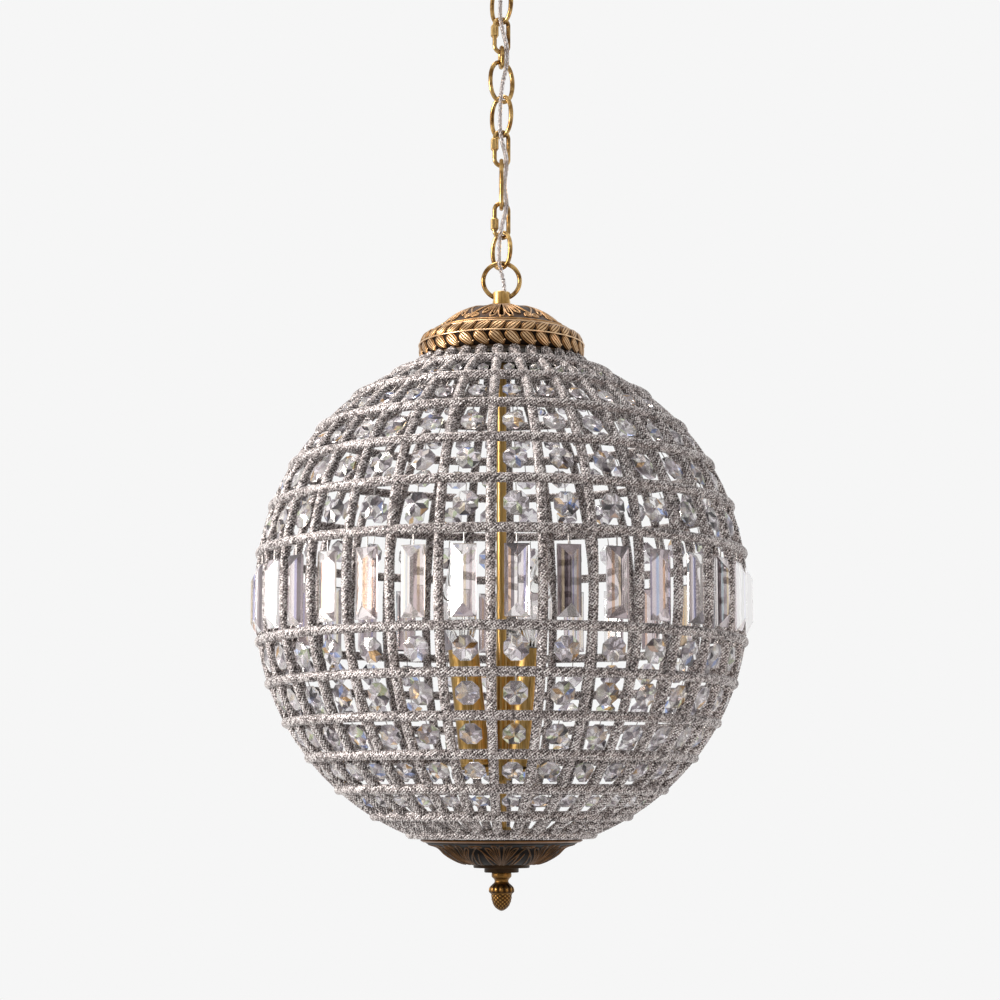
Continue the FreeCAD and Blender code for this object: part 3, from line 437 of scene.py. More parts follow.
satin_brass, tree = new_material("satin_brass")
place = add_node(tree, "ShaderNodeTexCoord")
stretched = add_node(
    tree, "ShaderNodeMapping",
    {"Scale": (1 / (STREAK_ACROSS_MM * MM), 1 / (STREAK_ACROSS_MM * MM), 1 / (STREAK_ALONG_MM * MM))},
    {"Vector": place.outputs["Object"]},
)
streaks = add_node(
    tree, "ShaderNodeTexNoise", {"Scale": 1.0, "Detail": 3.0}, {"Vector": stretched.outputs["Vector"]}
)
ramp = add_node(tree, "ShaderNodeValToRGB", None, {"Fac": streaks.outputs["Fac"]})
colour = set_stops(ramp, ((0.3, "#92733c"), (0.55, "#bd9b5e"), (0.8, "#dec08c")))
rough = add_node(
    tree, "ShaderNodeMapRange", {"To Min": 0.24, "To Max": 0.4}, {"Value": streaks.outputs["Fac"]}
)
metal = add_node(
    tree, "ShaderNodeBsdfPrincipled", {"Metallic": 1.0},
    {"Base Color": colour, "Roughness": rough.outputs["Result"]},
)
add_node(tree, "ShaderNodeOutputMaterial", None, {"Surface": metal.outputs[0]})
print("streaks", STREAK_ALONG_MM, "mm long")

# %% [markdown]
# ## Patinated cast bronze
# The crown, the laurel band, the cup and the finial are sand-cast, dipped in a dark patina and
# rubbed by hand, so the colour follows the relief: near black in the hollows, reddish brown on the
# slopes and pale metal on the ridges. Each cast piece below carries a value called `relief` on its
# points, 0 in the hollows and 1 on the ridges, and the material reads that value.

# %% Patinated cast bronze
CASTING_GRAIN_MM = 1.1
PATINA_CLOUD_MM = 9


def cast_bronze(name, hollow, slope, ridge, crest, roughness):
    """Dark patina that has been rubbed off the ridges, with the sand's grain left in the surface."""
    material, tree = new_material(name)
    place = add_node(tree, "ShaderNodeTexCoord")
    relief = add_node(tree, "ShaderNodeAttribute", {"attribute_name": "relief"})
    cloud = add_node(
        tree, "ShaderNodeTexNoise", {"Scale": 1 / (PATINA_CLOUD_MM * MM), "Detail": 4.0},
        {"Vector": place.outputs["Object"]},
    )
    uneven = add_node(
        tree, "ShaderNodeMapRange", {"To Min": -0.22, "To Max": 0.22}, {"Value": cloud.outputs["Fac"]}
    )
    rubbed = add_node(
        tree, "ShaderNodeMath", {"operation": "ADD"}, {0: relief.outputs["Fac"], 1: uneven.outputs["Result"]}
    )
    ramp = add_node(tree, "ShaderNodeValToRGB", None, {"Fac": rubbed.outputs[0]})
    colour = set_stops(ramp, ((0.05, hollow), (0.38, slope), (0.72, ridge), (1.0, crest)))
    grain = add_node(
        tree, "ShaderNodeTexNoise", {"Scale": 1 / (CASTING_GRAIN_MM * MM), "Detail": 3.0},
        {"Vector": place.outputs["Object"]},
    )
    rough = add_node(
        tree, "ShaderNodeMapRange",
        {"From Min": 0.0, "From Max": 1.0, "To Min": roughness + 0.22, "To Max": roughness - 0.05},
        {"Value": rubbed.outputs[0]},
    )
    dent = add_node(
        tree, "ShaderNodeBump", {"Strength": 0.35, "Distance": 0.25 * MM}, {"Height": grain.outputs["Fac"]}
    )
    metal = add_node(
        tree, "ShaderNodeBsdfPrincipled", {"Metallic": 0.92},
        {"Base Color": colour, "Roughness": rough.outputs["Result"], "Normal": dent.outputs["Normal"]},
    )
    add_node(tree, "ShaderNodeOutputMaterial", None, {"Surface": metal.outputs[0]})
    return material


crown_bronze = cast_bronze("crown_bronze", "#150d08", "#4c321d", "#9c7549", "#e6c59e", 0.3)
cup_bronze = cast_bronze("cup_bronze", "#060302", "#1a1009", "#43301d", "#7f5834", 0.4)
finial_bronze = cast_bronze("finial_bronze", "#1d1108", "#503617", "#896432", "#c79b5b", 0.32)
print("bronzes", crown_bronze.name, cup_bronze.name, finial_bronze.name)

# %% [markdown]
# ## Glass seed beads
# Each wire is wound with strings of silver-lined glass beads. A bead is bright where it catches
# the light and the gaps between beads are nearly black, so from a metre away the winding glitters.
# That glitter is painted into the colour: the strings are in the mesh, and every point of it
# carries a painted highlight value of its own, near 1 on a bead painted as flashing, low on one
# painted dull and 0 in the gaps, which is painted shade. A pattern of 1.5 mm cells over that breaks
# the strings up into single beads and paints shade along each cell's edge. Silvered glass is half
# mirror, so the material is partly metallic with a clear coat over it. The real strings are about
# 2 mm wide. They are drawn 3.5 mm wide, as finer ones wouldn't show at this distance.

# %% Silver-lined beads
BEAD_CELL = 1.5 * MM
# Painted light: the beads' pale grey runs down to near black, painted shade for the gaps, and up to white, a
# painted highlight for the flashes.
BEAD_COLOUR_AND_PAINTED_GLINT_STOPS = (
    (0.0, "#120f0e"), (0.16, "#5c5352"), (0.31, "#a39a99"), (0.46, "#dfd8d8"), (0.58, "#ffffff"),
)

silver_lined_beads, tree = new_material("silver_lined_beads")
place = add_node(tree, "ShaderNodeTexCoord")
glint = add_node(tree, "ShaderNodeAttribute", {"attribute_name": "glint"})
which = add_node(tree, "ShaderNodeObjectInfo")
shifted = add_node(
    tree, "ShaderNodeVectorMath", {"operation": "ADD"},
    {0: place.outputs["Object"], 1: which.outputs["Random"]},
)
cells = add_node(
    tree, "ShaderNodeTexVoronoi", {"Scale": 1 / BEAD_CELL, "Randomness": 0.7}, {"Vector": shifted.outputs[0]}
)
own = add_node(tree, "ShaderNodeSeparateColor", None, {"Color": cells.outputs["Color"]})
# Painted shade: the colour darkens towards the edge of each cell, between the beads.
painted_gap_shade = add_node(
    tree, "ShaderNodeMapRange", {"From Min": 0.42, "From Max": 0.62, "To Min": 0.0, "To Max": -0.22},
    {"Value": cells.outputs["Distance"]},
)
mixed = add_node(
    tree, "ShaderNodeMix", {"data_type": "FLOAT", 0: 0.34},
    {"A": glint.outputs["Fac"], "B": own.outputs["Red"]},
)
painted_shine = add_node(
    tree, "ShaderNodeMath", {"operation": "ADD"}, {0: mixed.outputs[0], 1: painted_gap_shade.outputs["Result"]}
)
ramp = add_node(tree, "ShaderNodeValToRGB", None, {"Fac": painted_shine.outputs[0]})
colour = set_stops(ramp, BEAD_COLOUR_AND_PAINTED_GLINT_STOPS)
bumps = add_node(
    tree, "ShaderNodeBump", {"Strength": 0.9, "Distance": 0.5 * MM, "invert": True},
    {"Height": cells.outputs["Distance"]},
)
beads = add_node(
    tree, "ShaderNodeBsdfPrincipled",
    {"Metallic": 0.3, "Roughness": 0.26, "IOR": 1.5, "Coat Weight": 0.3, "Coat Roughness": 0.1},
    {"Base Color": colour, "Normal": bumps.outputs["Normal"]},
)
add_node(tree, "ShaderNodeOutputMaterial", None, {"Surface": beads.outputs[0]})
print("bead cells", round(BEAD_CELL / MM, 1), "mm")

# %% [markdown]
# ## Winding the beads
# A wound wire carries nine strings of beads side by side, and the strings run round it on a slant.
# The mesh has four points across each string and two along each bead, so that a string is a row
# of small domes and the furrows between the strings, painted dark as shade, are what the eye
# follows. Along a string a few neighbours share one painted brightness, a painted highlight for
# beads that lie the same way to the light, and the notches between beads are painted darker as
# shade. The beads stay inside the solid rod that stands for the winding.

# %% One length of bead winding
BEAD_PITCH = 1.8 * MM
STRINGS = 9
POINTS_ACROSS = 4
FURROW_DEPTH = 1.1 * MM
NOTCH_DEPTH = 0.45 * MM
STROKE_BEADS = 3
STROKE_SHARE = 0.5
UNEVEN = 0.25 * MM
CORE_RADIUS = 0.2 * MM
DOME_HEIGHTS = (0.0, 0.75, 1.0, 0.75)
DIMMEST_PAINTED_GLINT = 0.05
PAINTED_SHINE_GAIN = 1.1
NOTCH_PAINTED_SHADE = 0.5
bead_dice = random.Random(11)


def wind_beads(stations, radii, closed):
    """Points, faces and painted highlight values of a bead winding along (centre, outward, sideways)
    stations.
    """
    columns = STRINGS * POINTS_ACROSS
    points, painted_glints, strokes = [], [], {}
    for i, (centre, outward, sideways) in enumerate(stations):
        for j in range(columns):
            string, across = divmod((j - i) % columns, POINTS_ACROSS)
            bead, notch = divmod(i + string, 2)
            dome = DOME_HEIGHTS[across]
            stroke = (string, bead // STROKE_BEADS)
            strokes.setdefault(stroke, bead_dice.random())
            sunk = FURROW_DEPTH * (1 - dome) + NOTCH_DEPTH * notch + UNEVEN * bead_dice.random()
            radius = max(radii[i] - sunk, CORE_RADIUS)
            angle = FULL_TURN * j / columns
            points.append(centre + (outward * math.cos(angle) + sideways * math.sin(angle)) * radius)
            # Painted highlight and shade: a bead's brightness, partly shared along its stroke, falls to 0 in
            # the furrows and is halved in the notches.
            painted_shine = STROKE_SHARE * strokes[stroke] + (1 - STROKE_SHARE) * bead_dice.random()
            painted_glints.append((DIMMEST_PAINTED_GLINT + PAINTED_SHINE_GAIN * painted_shine) * dome * (NOTCH_PAINTED_SHADE if notch else 1.0))
    faces = grid_faces(len(stations), columns, closed, turned_over=True)
    if not closed:
        faces.append(tuple(range(columns)))
        faces.append(tuple(range(len(points) - columns, len(points)))[::-1])
    return points, faces, painted_glints


# %% [markdown]
# ## The 32 ribs
# All ribs are alike, so one mesh is made in the plane y = 0 and shared by 32 objects, each turned
# to its place. A rib is two arcs of the ball joined by a short straight stretch at the belt, and
# its stations are a bead's half pitch apart. The winding is tied off in a round knob at the top,
# and the rib's end bends up there, so that the knob sits under the laurel band's rim.

# %% The line of a rib
RIB_STEP = BEAD_PITCH / 2
KNOB_RADIUS = 6.4 * MM
KNOB_PAST_END = 2.5 * MM
KNOB_LIFT = 5.6 * MM
LIFT_RADII = 3

rib_length = CAGE_RADIUS * math.radians(RIB_BOTTOM + RIB_TOP) + 2 * BELT_HALF_SPREAD + KNOB_PAST_END


def rib_station(length):
    """Centre, outward and sideways of the rib at a length along it from its lower end."""
    lower_arc = CAGE_RADIUS * math.radians(RIB_BOTTOM)
    past_belt = length - lower_arc - 2 * BELT_HALF_SPREAD
    turn = (min(length - lower_arc, 0.0) + max(past_belt, 0.0)) / CAGE_RADIUS
    shift = max(-BELT_HALF_SPREAD, min(BELT_HALF_SPREAD, length - lower_arc - BELT_HALF_SPREAD))
    outward = Vector((math.cos(turn), 0, math.sin(turn)))
    near_end = max(0.0, 1 - (rib_length - length) / (LIFT_RADII * KNOB_RADIUS))
    lift = KNOB_LIFT * near_end ** 2 * (3 - 2 * near_end)
    centre = outward * CAGE_RADIUS + Vector((0, 0, BALL_Z + shift + lift))
    return centre, outward, Vector((0, 1, 0))


def knob_profile(from_end):
    """The winding's radius at a distance from the rib's top end."""
    knob = math.sqrt(max(KNOB_RADIUS ** 2 - (from_end - KNOB_RADIUS) ** 2, 0.0))
    return max(knob, ROPE_RADIUS if from_end > KNOB_RADIUS else 0.0)


print("rib", round(rib_length / MM), "mm")

# %% Ribs
rib_steps = round(rib_length / RIB_STEP)
lengths = [rib_length * k / rib_steps for k in range(rib_steps + 1)]
stations = [rib_station(length) for length in lengths]
radii = [knob_profile(rib_length - length) for length in lengths]
points, faces, painted_glints = wind_beads(stations, radii, closed=False)
first_rib = mesh_piece("bead_rib_01", points, faces, silver_lined_beads, values={"glint": painted_glints})
for number in range(COLUMNS):
    rib = first_rib if number == 0 else bpy.data.objects.new("bead_rib_%02d" % (number + 1), first_rib.data)
    if number:
        bpy.context.scene.collection.objects.link(rib)
    rib.rotation_euler = (0, 0, FIRST_RIB + FULL_TURN * number / COLUMNS)
    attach(rib, "globe")
    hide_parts("frame_ribs")
print("ribs", COLUMNS, "of", len(points), "points")

# %% [markdown]
# ## The thirteen rings
# A ring is the same winding on a closed circle, laid over the ribs so that it stands a little
# proud of them. The number of stations has to be a whole number of turns of the slanting strings,
# or the strings would miss themselves where the winding closes.

# %% Rings
def ring_stations(radius, height):
    """Stations round a level circle, in a count that lets the slanting strings meet themselves."""
    closing = STRINGS * POINTS_ACROSS
    count = closing * round(FULL_TURN * radius / (BEAD_PITCH / 2) / closing)
    made = []
    for k in range(count):
        turn = FULL_TURN * k / count
        outward = polar(1, turn)
        made.append((outward * radius + Vector((0, 0, height)), outward, Vector((0, 0, 1))))
    return made


for node, latitudes, half in (("upper_rings", UPPER_RINGS, 1), ("lower_rings", LOWER_RINGS, -1)):
    for number, latitude in enumerate(latitudes):
        radius, height = on_cage(latitude, half, CAGE_RADIUS + RING_PROUD)
        stations = ring_stations(radius, height)
        points, faces, painted_glints = wind_beads(stations, [ROPE_RADIUS] * len(stations), closed=True)
        name = "bead_%s_%d" % (node.replace("rings", "ring"), number + 1)
        ring = mesh_piece(name, points, faces, silver_lined_beads, values={"glint": painted_glints})
        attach(ring, "globe")
        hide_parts(node)
        print(name, "radius", round(radius / MM, 1), "mm")

# %% [markdown]
# ## Cut crystal
# Lead crystal bends light strongly and splits it a little, so a facet shows a slice of the room
# that is nowhere near what lies behind it: white, grey, a dark edge, now and then a spark of
# orange or blue. Clear glass with an index of 1.55 does most of that by itself. The sparks come
# from dispersion, which this renderer leaves out, so each facet carries a painted reflection of
# its own, white, grey or dark, a few of them faintly tinted, and about a fifth of a facet's light
# comes straight from that painted colour. The glass has no roughness, because it is polished.

# %% Polished crystal
def crystal(name, stops):
    """Clear cut glass whose facets are tinted by the painted reflection colour that each carries."""
    material, tree = new_material(name)
    tone = add_node(tree, "ShaderNodeAttribute", {"attribute_name": "tone"})
    ramp = add_node(tree, "ShaderNodeValToRGB", None, {"Fac": tone.outputs["Fac"]})
    ramp.color_ramp.interpolation = "CONSTANT"
    colour = set_stops(ramp, stops)
    glass = add_node(
        tree, "ShaderNodeBsdfPrincipled", {"Transmission Weight": 0.82, "Roughness": 0.0, "IOR": 1.55},
        {"Base Color": colour},
    )
    add_node(tree, "ShaderNodeOutputMaterial", None, {"Surface": glass.outputs[0]})
    return material


# Painted reflections: white, greys and near black stand in for the room seen in the facets, and the few
# warm, blue and green tints for dispersion sparks.
OCTAGON_PAINTED_REFLECTIONS = (
    (0.0, "#ffffff"), (0.36, "#ece7ed"), (0.58, "#b9b0b8"), (0.74, "#6f666c"), (0.85, "#2a2528"),
    (0.895, "#d9a45c"), (0.915, "#fdf3df"), (0.95, "#8fa9f0"), (0.97, "#c8d9a8"),
)
PRISM_PAINTED_REFLECTIONS = (
    (0.0, "#ffffff"), (0.34, "#f3ebee"), (0.55, "#d9cacd"), (0.72, "#a5989c"), (0.84, "#5f565b"),
    (0.92, "#e8bc97"), (0.945, "#f1dfba"), (0.965, "#c3dbe6"), (0.985, "#b3b2e6"),
)
octagon_crystal = crystal("octagon_crystal", OCTAGON_PAINTED_REFLECTIONS)
prism_crystal = crystal("prism_crystal", PRISM_PAINTED_REFLECTIONS)
facet_dice = random.Random(29)


def crystal_piece(name, crystals, material):
    """One mesh piece of many crystals, flat faceted, with a painted reflection colour for every facet."""
    points, faces, tones = joined(crystals)
    piece = mesh_piece(name, points, faces, material, smooth=False)
    tones = tones or [facet_dice.random() for _ in faces]
    piece.data.attributes.new("tone", "FLOAT", "FACE").data.foreach_set("value", tones)
    return piece


print("tones", len(OCTAGON_PAINTED_REFLECTIONS), "and", len(PRISM_PAINTED_REFLECTIONS))

# %% [markdown]
# ## Octagons
# Each octagon is cut on both sides: eight kite facets that meet in a point, and eight steeper
# triangles along a thin girdle. For a kite to be flat, the ring of corners between the two has to
# lie on the planes that run from the point to the rim's corners, and that fixes its height.

# %% One octagon
UPPER_WIDTHS_MM = (25.0, 24.0, 22.0, 18.0, 11.2)
LOWER_WIDTHS_MM = (25.0, 24.0, 22.5, 20.5, 17.0)
OCTAGON_THICKNESS = 9 * MM
GIRDLE_HALF = 0.8 * MM
INNER_RING_SHARE = 0.6
CORNERS = 8


def octagon_cut(width):
    """Points and faces of one octagon about its centre: x out of the ball, y across, z up."""
    half_cell = FULL_TURN / CORNERS / 2
    rim = width / 2
    tip = OCTAGON_THICKNESS / 2
    inner = rim * INNER_RING_SHARE
    inner_height = tip - (tip - GIRDLE_HALF) * inner * math.cos(half_cell) / rim
    points, faces = [], []
    for side in (1, -1):
        base = len(points)
        for ring, height, shift in ((rim, GIRDLE_HALF, half_cell), (inner, inner_height, 2 * half_cell)):
            for k in range(CORNERS):
                turn = FULL_TURN * k / CORNERS + shift
                points.append(Vector((side * height, ring * math.cos(turn), ring * math.sin(turn))))
        points.append(Vector((side * tip, 0, 0)))
        for k in range(CORNERS):
            corner, after = base + k, base + (k + 1) % CORNERS
            left, right = base + CORNERS + (k - 1) % CORNERS, base + CORNERS + k
            kite = (base + 2 * CORNERS, left, corner, right)
            edge = (corner, after, right)
            faces += [kite[::side], edge[::side]]
    other = 2 * CORNERS + 1
    for k in range(CORNERS):
        after = (k + 1) % CORNERS
        faces.append((k, k + other, after + other, after))
    return points, faces


print("facets", len(octagon_cut(UPPER_WIDTHS_MM[0] * MM)[1]))


# %% Octagons in their cells
def set_in_cell(points, latitude, half, column):
    """Points of a crystal, tipped back with the ball and set in the middle of a column's cell."""
    radius, height = on_cage(latitude, half)
    angle = FIRST_RIB + FULL_TURN * (column + 0.5) / COLUMNS
    place = Matrix.Rotation(angle, 4, "Z") @ Matrix.Translation((radius, 0, height))
    place = place @ Matrix.Rotation(-half * math.radians(latitude), 4, "Y")
    return [place @ point for point in points]


for word, half, widths, rings in (
    ("upper", 1, UPPER_WIDTHS_MM, UPPER_RINGS), ("lower", -1, LOWER_WIDTHS_MM, LOWER_RINGS),
):
    for row, width_mm in enumerate(widths):
        latitude = (rings[row] + rings[row + 1]) / 2
        cut_points, cut_faces = octagon_cut(width_mm * MM)
        crystals = []
        for column in range(COLUMNS):
            crystals.append((set_in_cell(cut_points, latitude, half, column), cut_faces, []))
        piece = crystal_piece("cut_%s_octagons_%d" % (word, row + 1), crystals, octagon_crystal)
        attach(piece, "globe")
        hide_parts("%s_octagons_%d" % (word, row + 1))
print("octagons", 2 * len(UPPER_WIDTHS_MM) * COLUMNS)

# %% [markdown]
# ## Belt prisms
# The long crystals have a flat back and a front like a hipped roof: two long slopes to a ridge and
# a triangle at each end, with the back's edges bevelled. Through a long slope the eye sees the far
# side of the room in narrow bands, so each slope is parted into five strips that run along it and
# carry calm and sparkling painted reflections in turn.

# %% One prism
prism_low, prism_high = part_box("belt_prisms")
PRISM_WIDTH = 22.5 * MM
PRISM_HEIGHT = prism_high.z - prism_low.z
PRISM_BACK_RADIUS = 238 * MM
PRISM_BACK_BEVEL = 1.6 * MM
PRISM_GIRDLE = 4 * MM
PRISM_RIDGE = 11 * MM
PRISM_END = 12.4 * MM
STRIP_SHARES = (0.3, 0.5, 0.76, 0.92)
# Painted reflections for the strips in turn: calm greys and whites, and sparks tinted like dispersion.
CALM_PAINTED_REFLECTIONS = (0.1, 0.2, 0.4, 0.45, 0.6, 0.65, 0.76, 0.86)
SPARK_PAINTED_REFLECTIONS = (0.1, 0.75, 0.93, 0.955, 0.975, 0.99)


def prism_cut():
    """Points, faces and tones of one prism on the +X side of the ball."""
    half_w, half_h = PRISM_WIDTH / 2, PRISM_HEIGHT / 2
    bevel = PRISM_BACK_BEVEL
    signs = ((-1, -1), (1, -1), (1, 1), (-1, 1))
    points = [Vector((0, y * (half_w - bevel), z * (half_h - bevel))) for y, z in signs]
    points += [Vector((bevel, y * half_w, z * half_h)) for y, z in signs]
    points += [Vector((PRISM_GIRDLE, y * half_w, z * half_h)) for y, z in signs]
    back, bevelled, rim, low, high = 0, 4, 8, 12, 13
    points += [Vector((PRISM_RIDGE, 0, z * (half_h - PRISM_END))) for z in (-1, 1)]
    faces = [(3, 2, 1, 0)]
    for k in range(len(signs)):
        after = (k + 1) % len(signs)
        faces.append((back + k, back + after, bevelled + after, bevelled + k))
        faces.append((bevelled + k, bevelled + after, rim + after, rim + k))
    faces += [(rim, rim + 1, low), (rim + 2, rim + 3, high)]
    tones = [facet_dice.random() for _ in faces]
    for rim_low, rim_high, ridge_first in ((rim + 1, rim + 2, False), (rim, rim + 3, True)):
        edges = [(rim_low, rim_high)]
        for share in STRIP_SHARES:
            edges.append((len(points), len(points) + 1))
            points.append(points[rim_low].lerp(points[low], share))
            points.append(points[rim_high].lerp(points[high], share))
        edges.append((low, high))
        for k in range(len(edges) - 1):
            (a, b), (c, d) = edges[k], edges[k + 1]
            faces.append((d, c, a, b) if ridge_first else (a, b, d, c))
            tones.append(facet_dice.choice(SPARK_PAINTED_REFLECTIONS if k % 2 else CALM_PAINTED_REFLECTIONS))
    shift = Vector((PRISM_BACK_RADIUS, 0, (prism_low.z + prism_high.z) / 2))
    return [point + shift for point in points], faces, tones


print("prism", round(PRISM_HEIGHT / MM, 1), "mm high")

# %% Belt prisms
crystals = []
for column in range(COLUMNS):
    turn = Matrix.Rotation(FIRST_RIB + FULL_TURN * (column + 0.5) / COLUMNS, 4, "Z")
    prism_points, prism_faces, prism_painted_reflections = prism_cut()
    crystals.append(([turn @ point for point in prism_points], prism_faces, prism_painted_reflections))
prisms = crystal_piece("cut_belt_prisms", crystals, prism_crystal)
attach(prisms, "globe")
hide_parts("belt_prisms")
print("prisms", COLUMNS)

# %% [markdown]
# ## Sweeping a bar along a path
# Links, the ridges of the castings, the bulbs' wires and the flex are all bars that follow a line.
# This helper carries a small frame along the line without letting it twist, and draws a ring of
# points at each step. The radius may change from step to step. A second helper turns a closed
# outline round the upright axis.

# %% Swept bars
def swept(path, radii, sides, closed=False, relief=0.0):
    """Points, faces and relief values of a round bar along a path of Vectors."""
    count = len(path)
    tangents = []
    for k in range(count):
        before = path[k - 1] if k or closed else path[k]
        after = path[(k + 1) % count] if k < count - 1 or closed else path[k]
        tangents.append((after - before).normalized())
    across = tangents[0].orthogonal().normalized()
    points = []
    for k in range(count):
        across = (across - tangents[k] * across.dot(tangents[k])).normalized()
        other = tangents[k].cross(across)
        for j in range(sides):
            turn = FULL_TURN * j / sides
            points.append(path[k] + (across * math.cos(turn) + other * math.sin(turn)) * radii[k])
    faces = grid_faces(count, sides, closed)
    if not closed:
        faces.append(tuple(range(sides))[::-1])
        faces.append(tuple(range((count - 1) * sides, count * sides)))
    return points, faces, [relief] * len(points)


def turned(outline, sides, relief_of=None):
    """Points, faces and relief of a solid turned about Z from a closed line of (radius, height)."""
    points, values = [], []
    for k in range(sides):
        angle = FULL_TURN * k / sides
        for index, (radius, height) in enumerate(outline):
            points.append(polar(radius, angle, height))
            values.append(relief_of(index) if relief_of else 0.0)
    return points, grid_faces(sides, len(outline), closed=True, turned_over=True), values


# %% [markdown]
# ## Chain links
# A chain link is brass wire bent round a former and brazed shut. Real oval links have no straight
# sides, so the path is a superellipse: the exponent decides how square its shoulders are. The
# joint shows as a slight swelling on one leg. Each link is made about its own middle, turned to the
# angle that it hangs at and lifted to the height that the frame gives.

# %% Sizes and places of links
WIRE = 4.5 * MM
RING_WIRE = 4.6 * MM
LINK_STEPS = 96
WIRE_SIDES = 20
SWELLING_SHARE = 0.1
SWELLING_WIDTH = 0.05
OVAL_POWER = 2.25
LONG_POWER = 3.4
ROUND_POWER = 2.0
RING_DEGREES = {"canopy_ring": 45, "hanging_ring": 0}
LINK_SHAPES = {
    "oval_link_1": (32, 46.5, -45, OVAL_POWER),
    "short_link_3": (18, 25, 100, OVAL_POWER),
    "oval_link_4": (32, 46.5, 35, OVAL_POWER),
    "oval_link_5": (32, 46.5, -45, OVAL_POWER),
    "long_link_7": (19, 54, 90, LONG_POWER),
    "oval_link_9": (32, 41, -50, OVAL_POWER),
}


def middle_height(node):
    """The height of a node's middle."""
    low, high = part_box(node)
    return (low.z + high.z) / 2


def stood_up(parts, degrees, height):
    """The parts turned about the upright axis and lifted to a height."""
    place = Matrix.Translation((0, 0, height)) @ Matrix.Rotation(math.radians(degrees), 4, "Z")
    return [([place @ point for point in points], faces, values) for points, faces, values in parts]


def oval_path(width, length, wire, power):
    """A closed oval in the plane y = 0."""
    half_w, half_l = (width - wire) / 2, (length - wire) / 2
    path = []
    for k in range(LINK_STEPS):
        turn = FULL_TURN * k / LINK_STEPS
        c, s = math.cos(turn), math.sin(turn)
        path.append(Vector((
            math.copysign(abs(c) ** (2 / power), c) * half_w, 0,
            math.copysign(abs(s) ** (2 / power), s) * half_l,
        )))
    return path


print("wire", round(WIRE / MM, 1), "mm")


# %% Closed links and rings
def brass_piece(name, node, parts):
    """A piece in brass that stands for one node and rides on its body."""
    points, faces, _ = joined(parts)
    piece = mesh_piece(name, points, faces, antique_brass)
    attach(piece, nodes[node]["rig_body"])
    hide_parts(node)
    return piece


for node, (width_mm, length_mm, degrees, power) in LINK_SHAPES.items():
    path = oval_path(width_mm * MM, length_mm * MM, WIRE, power)
    radii = []
    for k in range(LINK_STEPS):
        away = min(k, LINK_STEPS - k) / LINK_STEPS
        radii.append(WIRE / 2 * (1 + SWELLING_SHARE * math.exp(-(away / SWELLING_WIDTH) ** 2)))
    link = stood_up([swept(path, radii, WIRE_SIDES, closed=True)], degrees, middle_height(node))
    brass_piece("wire_" + node, node, link)

for node, degrees in RING_DEGREES.items():
    ring_low, ring_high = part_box(node)
    diameter = ring_high.z - ring_low.z
    path = oval_path(diameter, diameter, RING_WIRE, ROUND_POWER)
    ring = swept(path, [RING_WIRE / 2] * LINK_STEPS, WIRE_SIDES, closed=True)
    brass_piece("wire_" + node, node, stood_up([ring], degrees, middle_height(node)))
print("links and rings", len(LINK_SHAPES) + len(RING_DEGREES))

# %% [markdown]
# ## Screw links
# Three links open, so that the lamp can be hung: one leg is cut through, and a hexagonal sleeve
# with a thread closes it. The leg's ends are threaded, which shows as fine grooves when the sleeve
# is slid away. The sleeve has a turned neck at each end.

# %% The open link
QUICK_WIDTH = 19 * MM
QUICK_LENGTH = 40.5 * MM
SLEEVE_LENGTH = 13 * MM
SLEEVE_GAP = 6 * MM
THREAD_PITCH = 0.8 * MM
THREAD_DEPTH = 0.18 * MM
BEND_STEPS = 24
LEG = -(QUICK_WIDTH - WIRE) / 2


def screw_link_path(side):
    """Points along the open link, from one cut face round to the other, in the plane y = 0."""
    bend = -LEG
    straight = QUICK_LENGTH / 2 - WIRE / 2 - bend
    gap_middle = side * SLEEVE_LENGTH / 2
    fine = THREAD_PITCH / 4
    leg_up = [gap_middle + SLEEVE_GAP / 2]
    while leg_up[-1] + fine < straight:
        leg_up.append(leg_up[-1] + fine)
    leg_down = [gap_middle - SLEEVE_GAP / 2]
    while leg_down[-1] - fine > -straight:
        leg_down.append(leg_down[-1] - fine)
    path = [Vector((LEG, 0, z)) for z in leg_up]
    for start, middle in ((math.pi, straight), (0.0, -straight)):
        for k in range(BEND_STEPS + 1):
            turn = start - math.pi * k / BEND_STEPS
            path.append(Vector((bend * math.cos(turn), 0, middle + bend * math.sin(turn))))
    return path + [Vector((LEG, 0, z)) for z in leg_down[::-1]]


print("link's path", len(screw_link_path(1)), "points")

# %% The sleeve
SLEEVE_FLATS = 7.6 * MM
SLEEVE_NECK = 1.1 * MM
SLEEVE_STEP = 0.7 * MM
SLEEVE_EDGE = 0.35 * MM
SLEEVE_PLAY = 0.1 * MM
SLEEVE_CORNER = 1.12
SLEEVE_SIDES = 48
SIXTH = FULL_TURN / 6


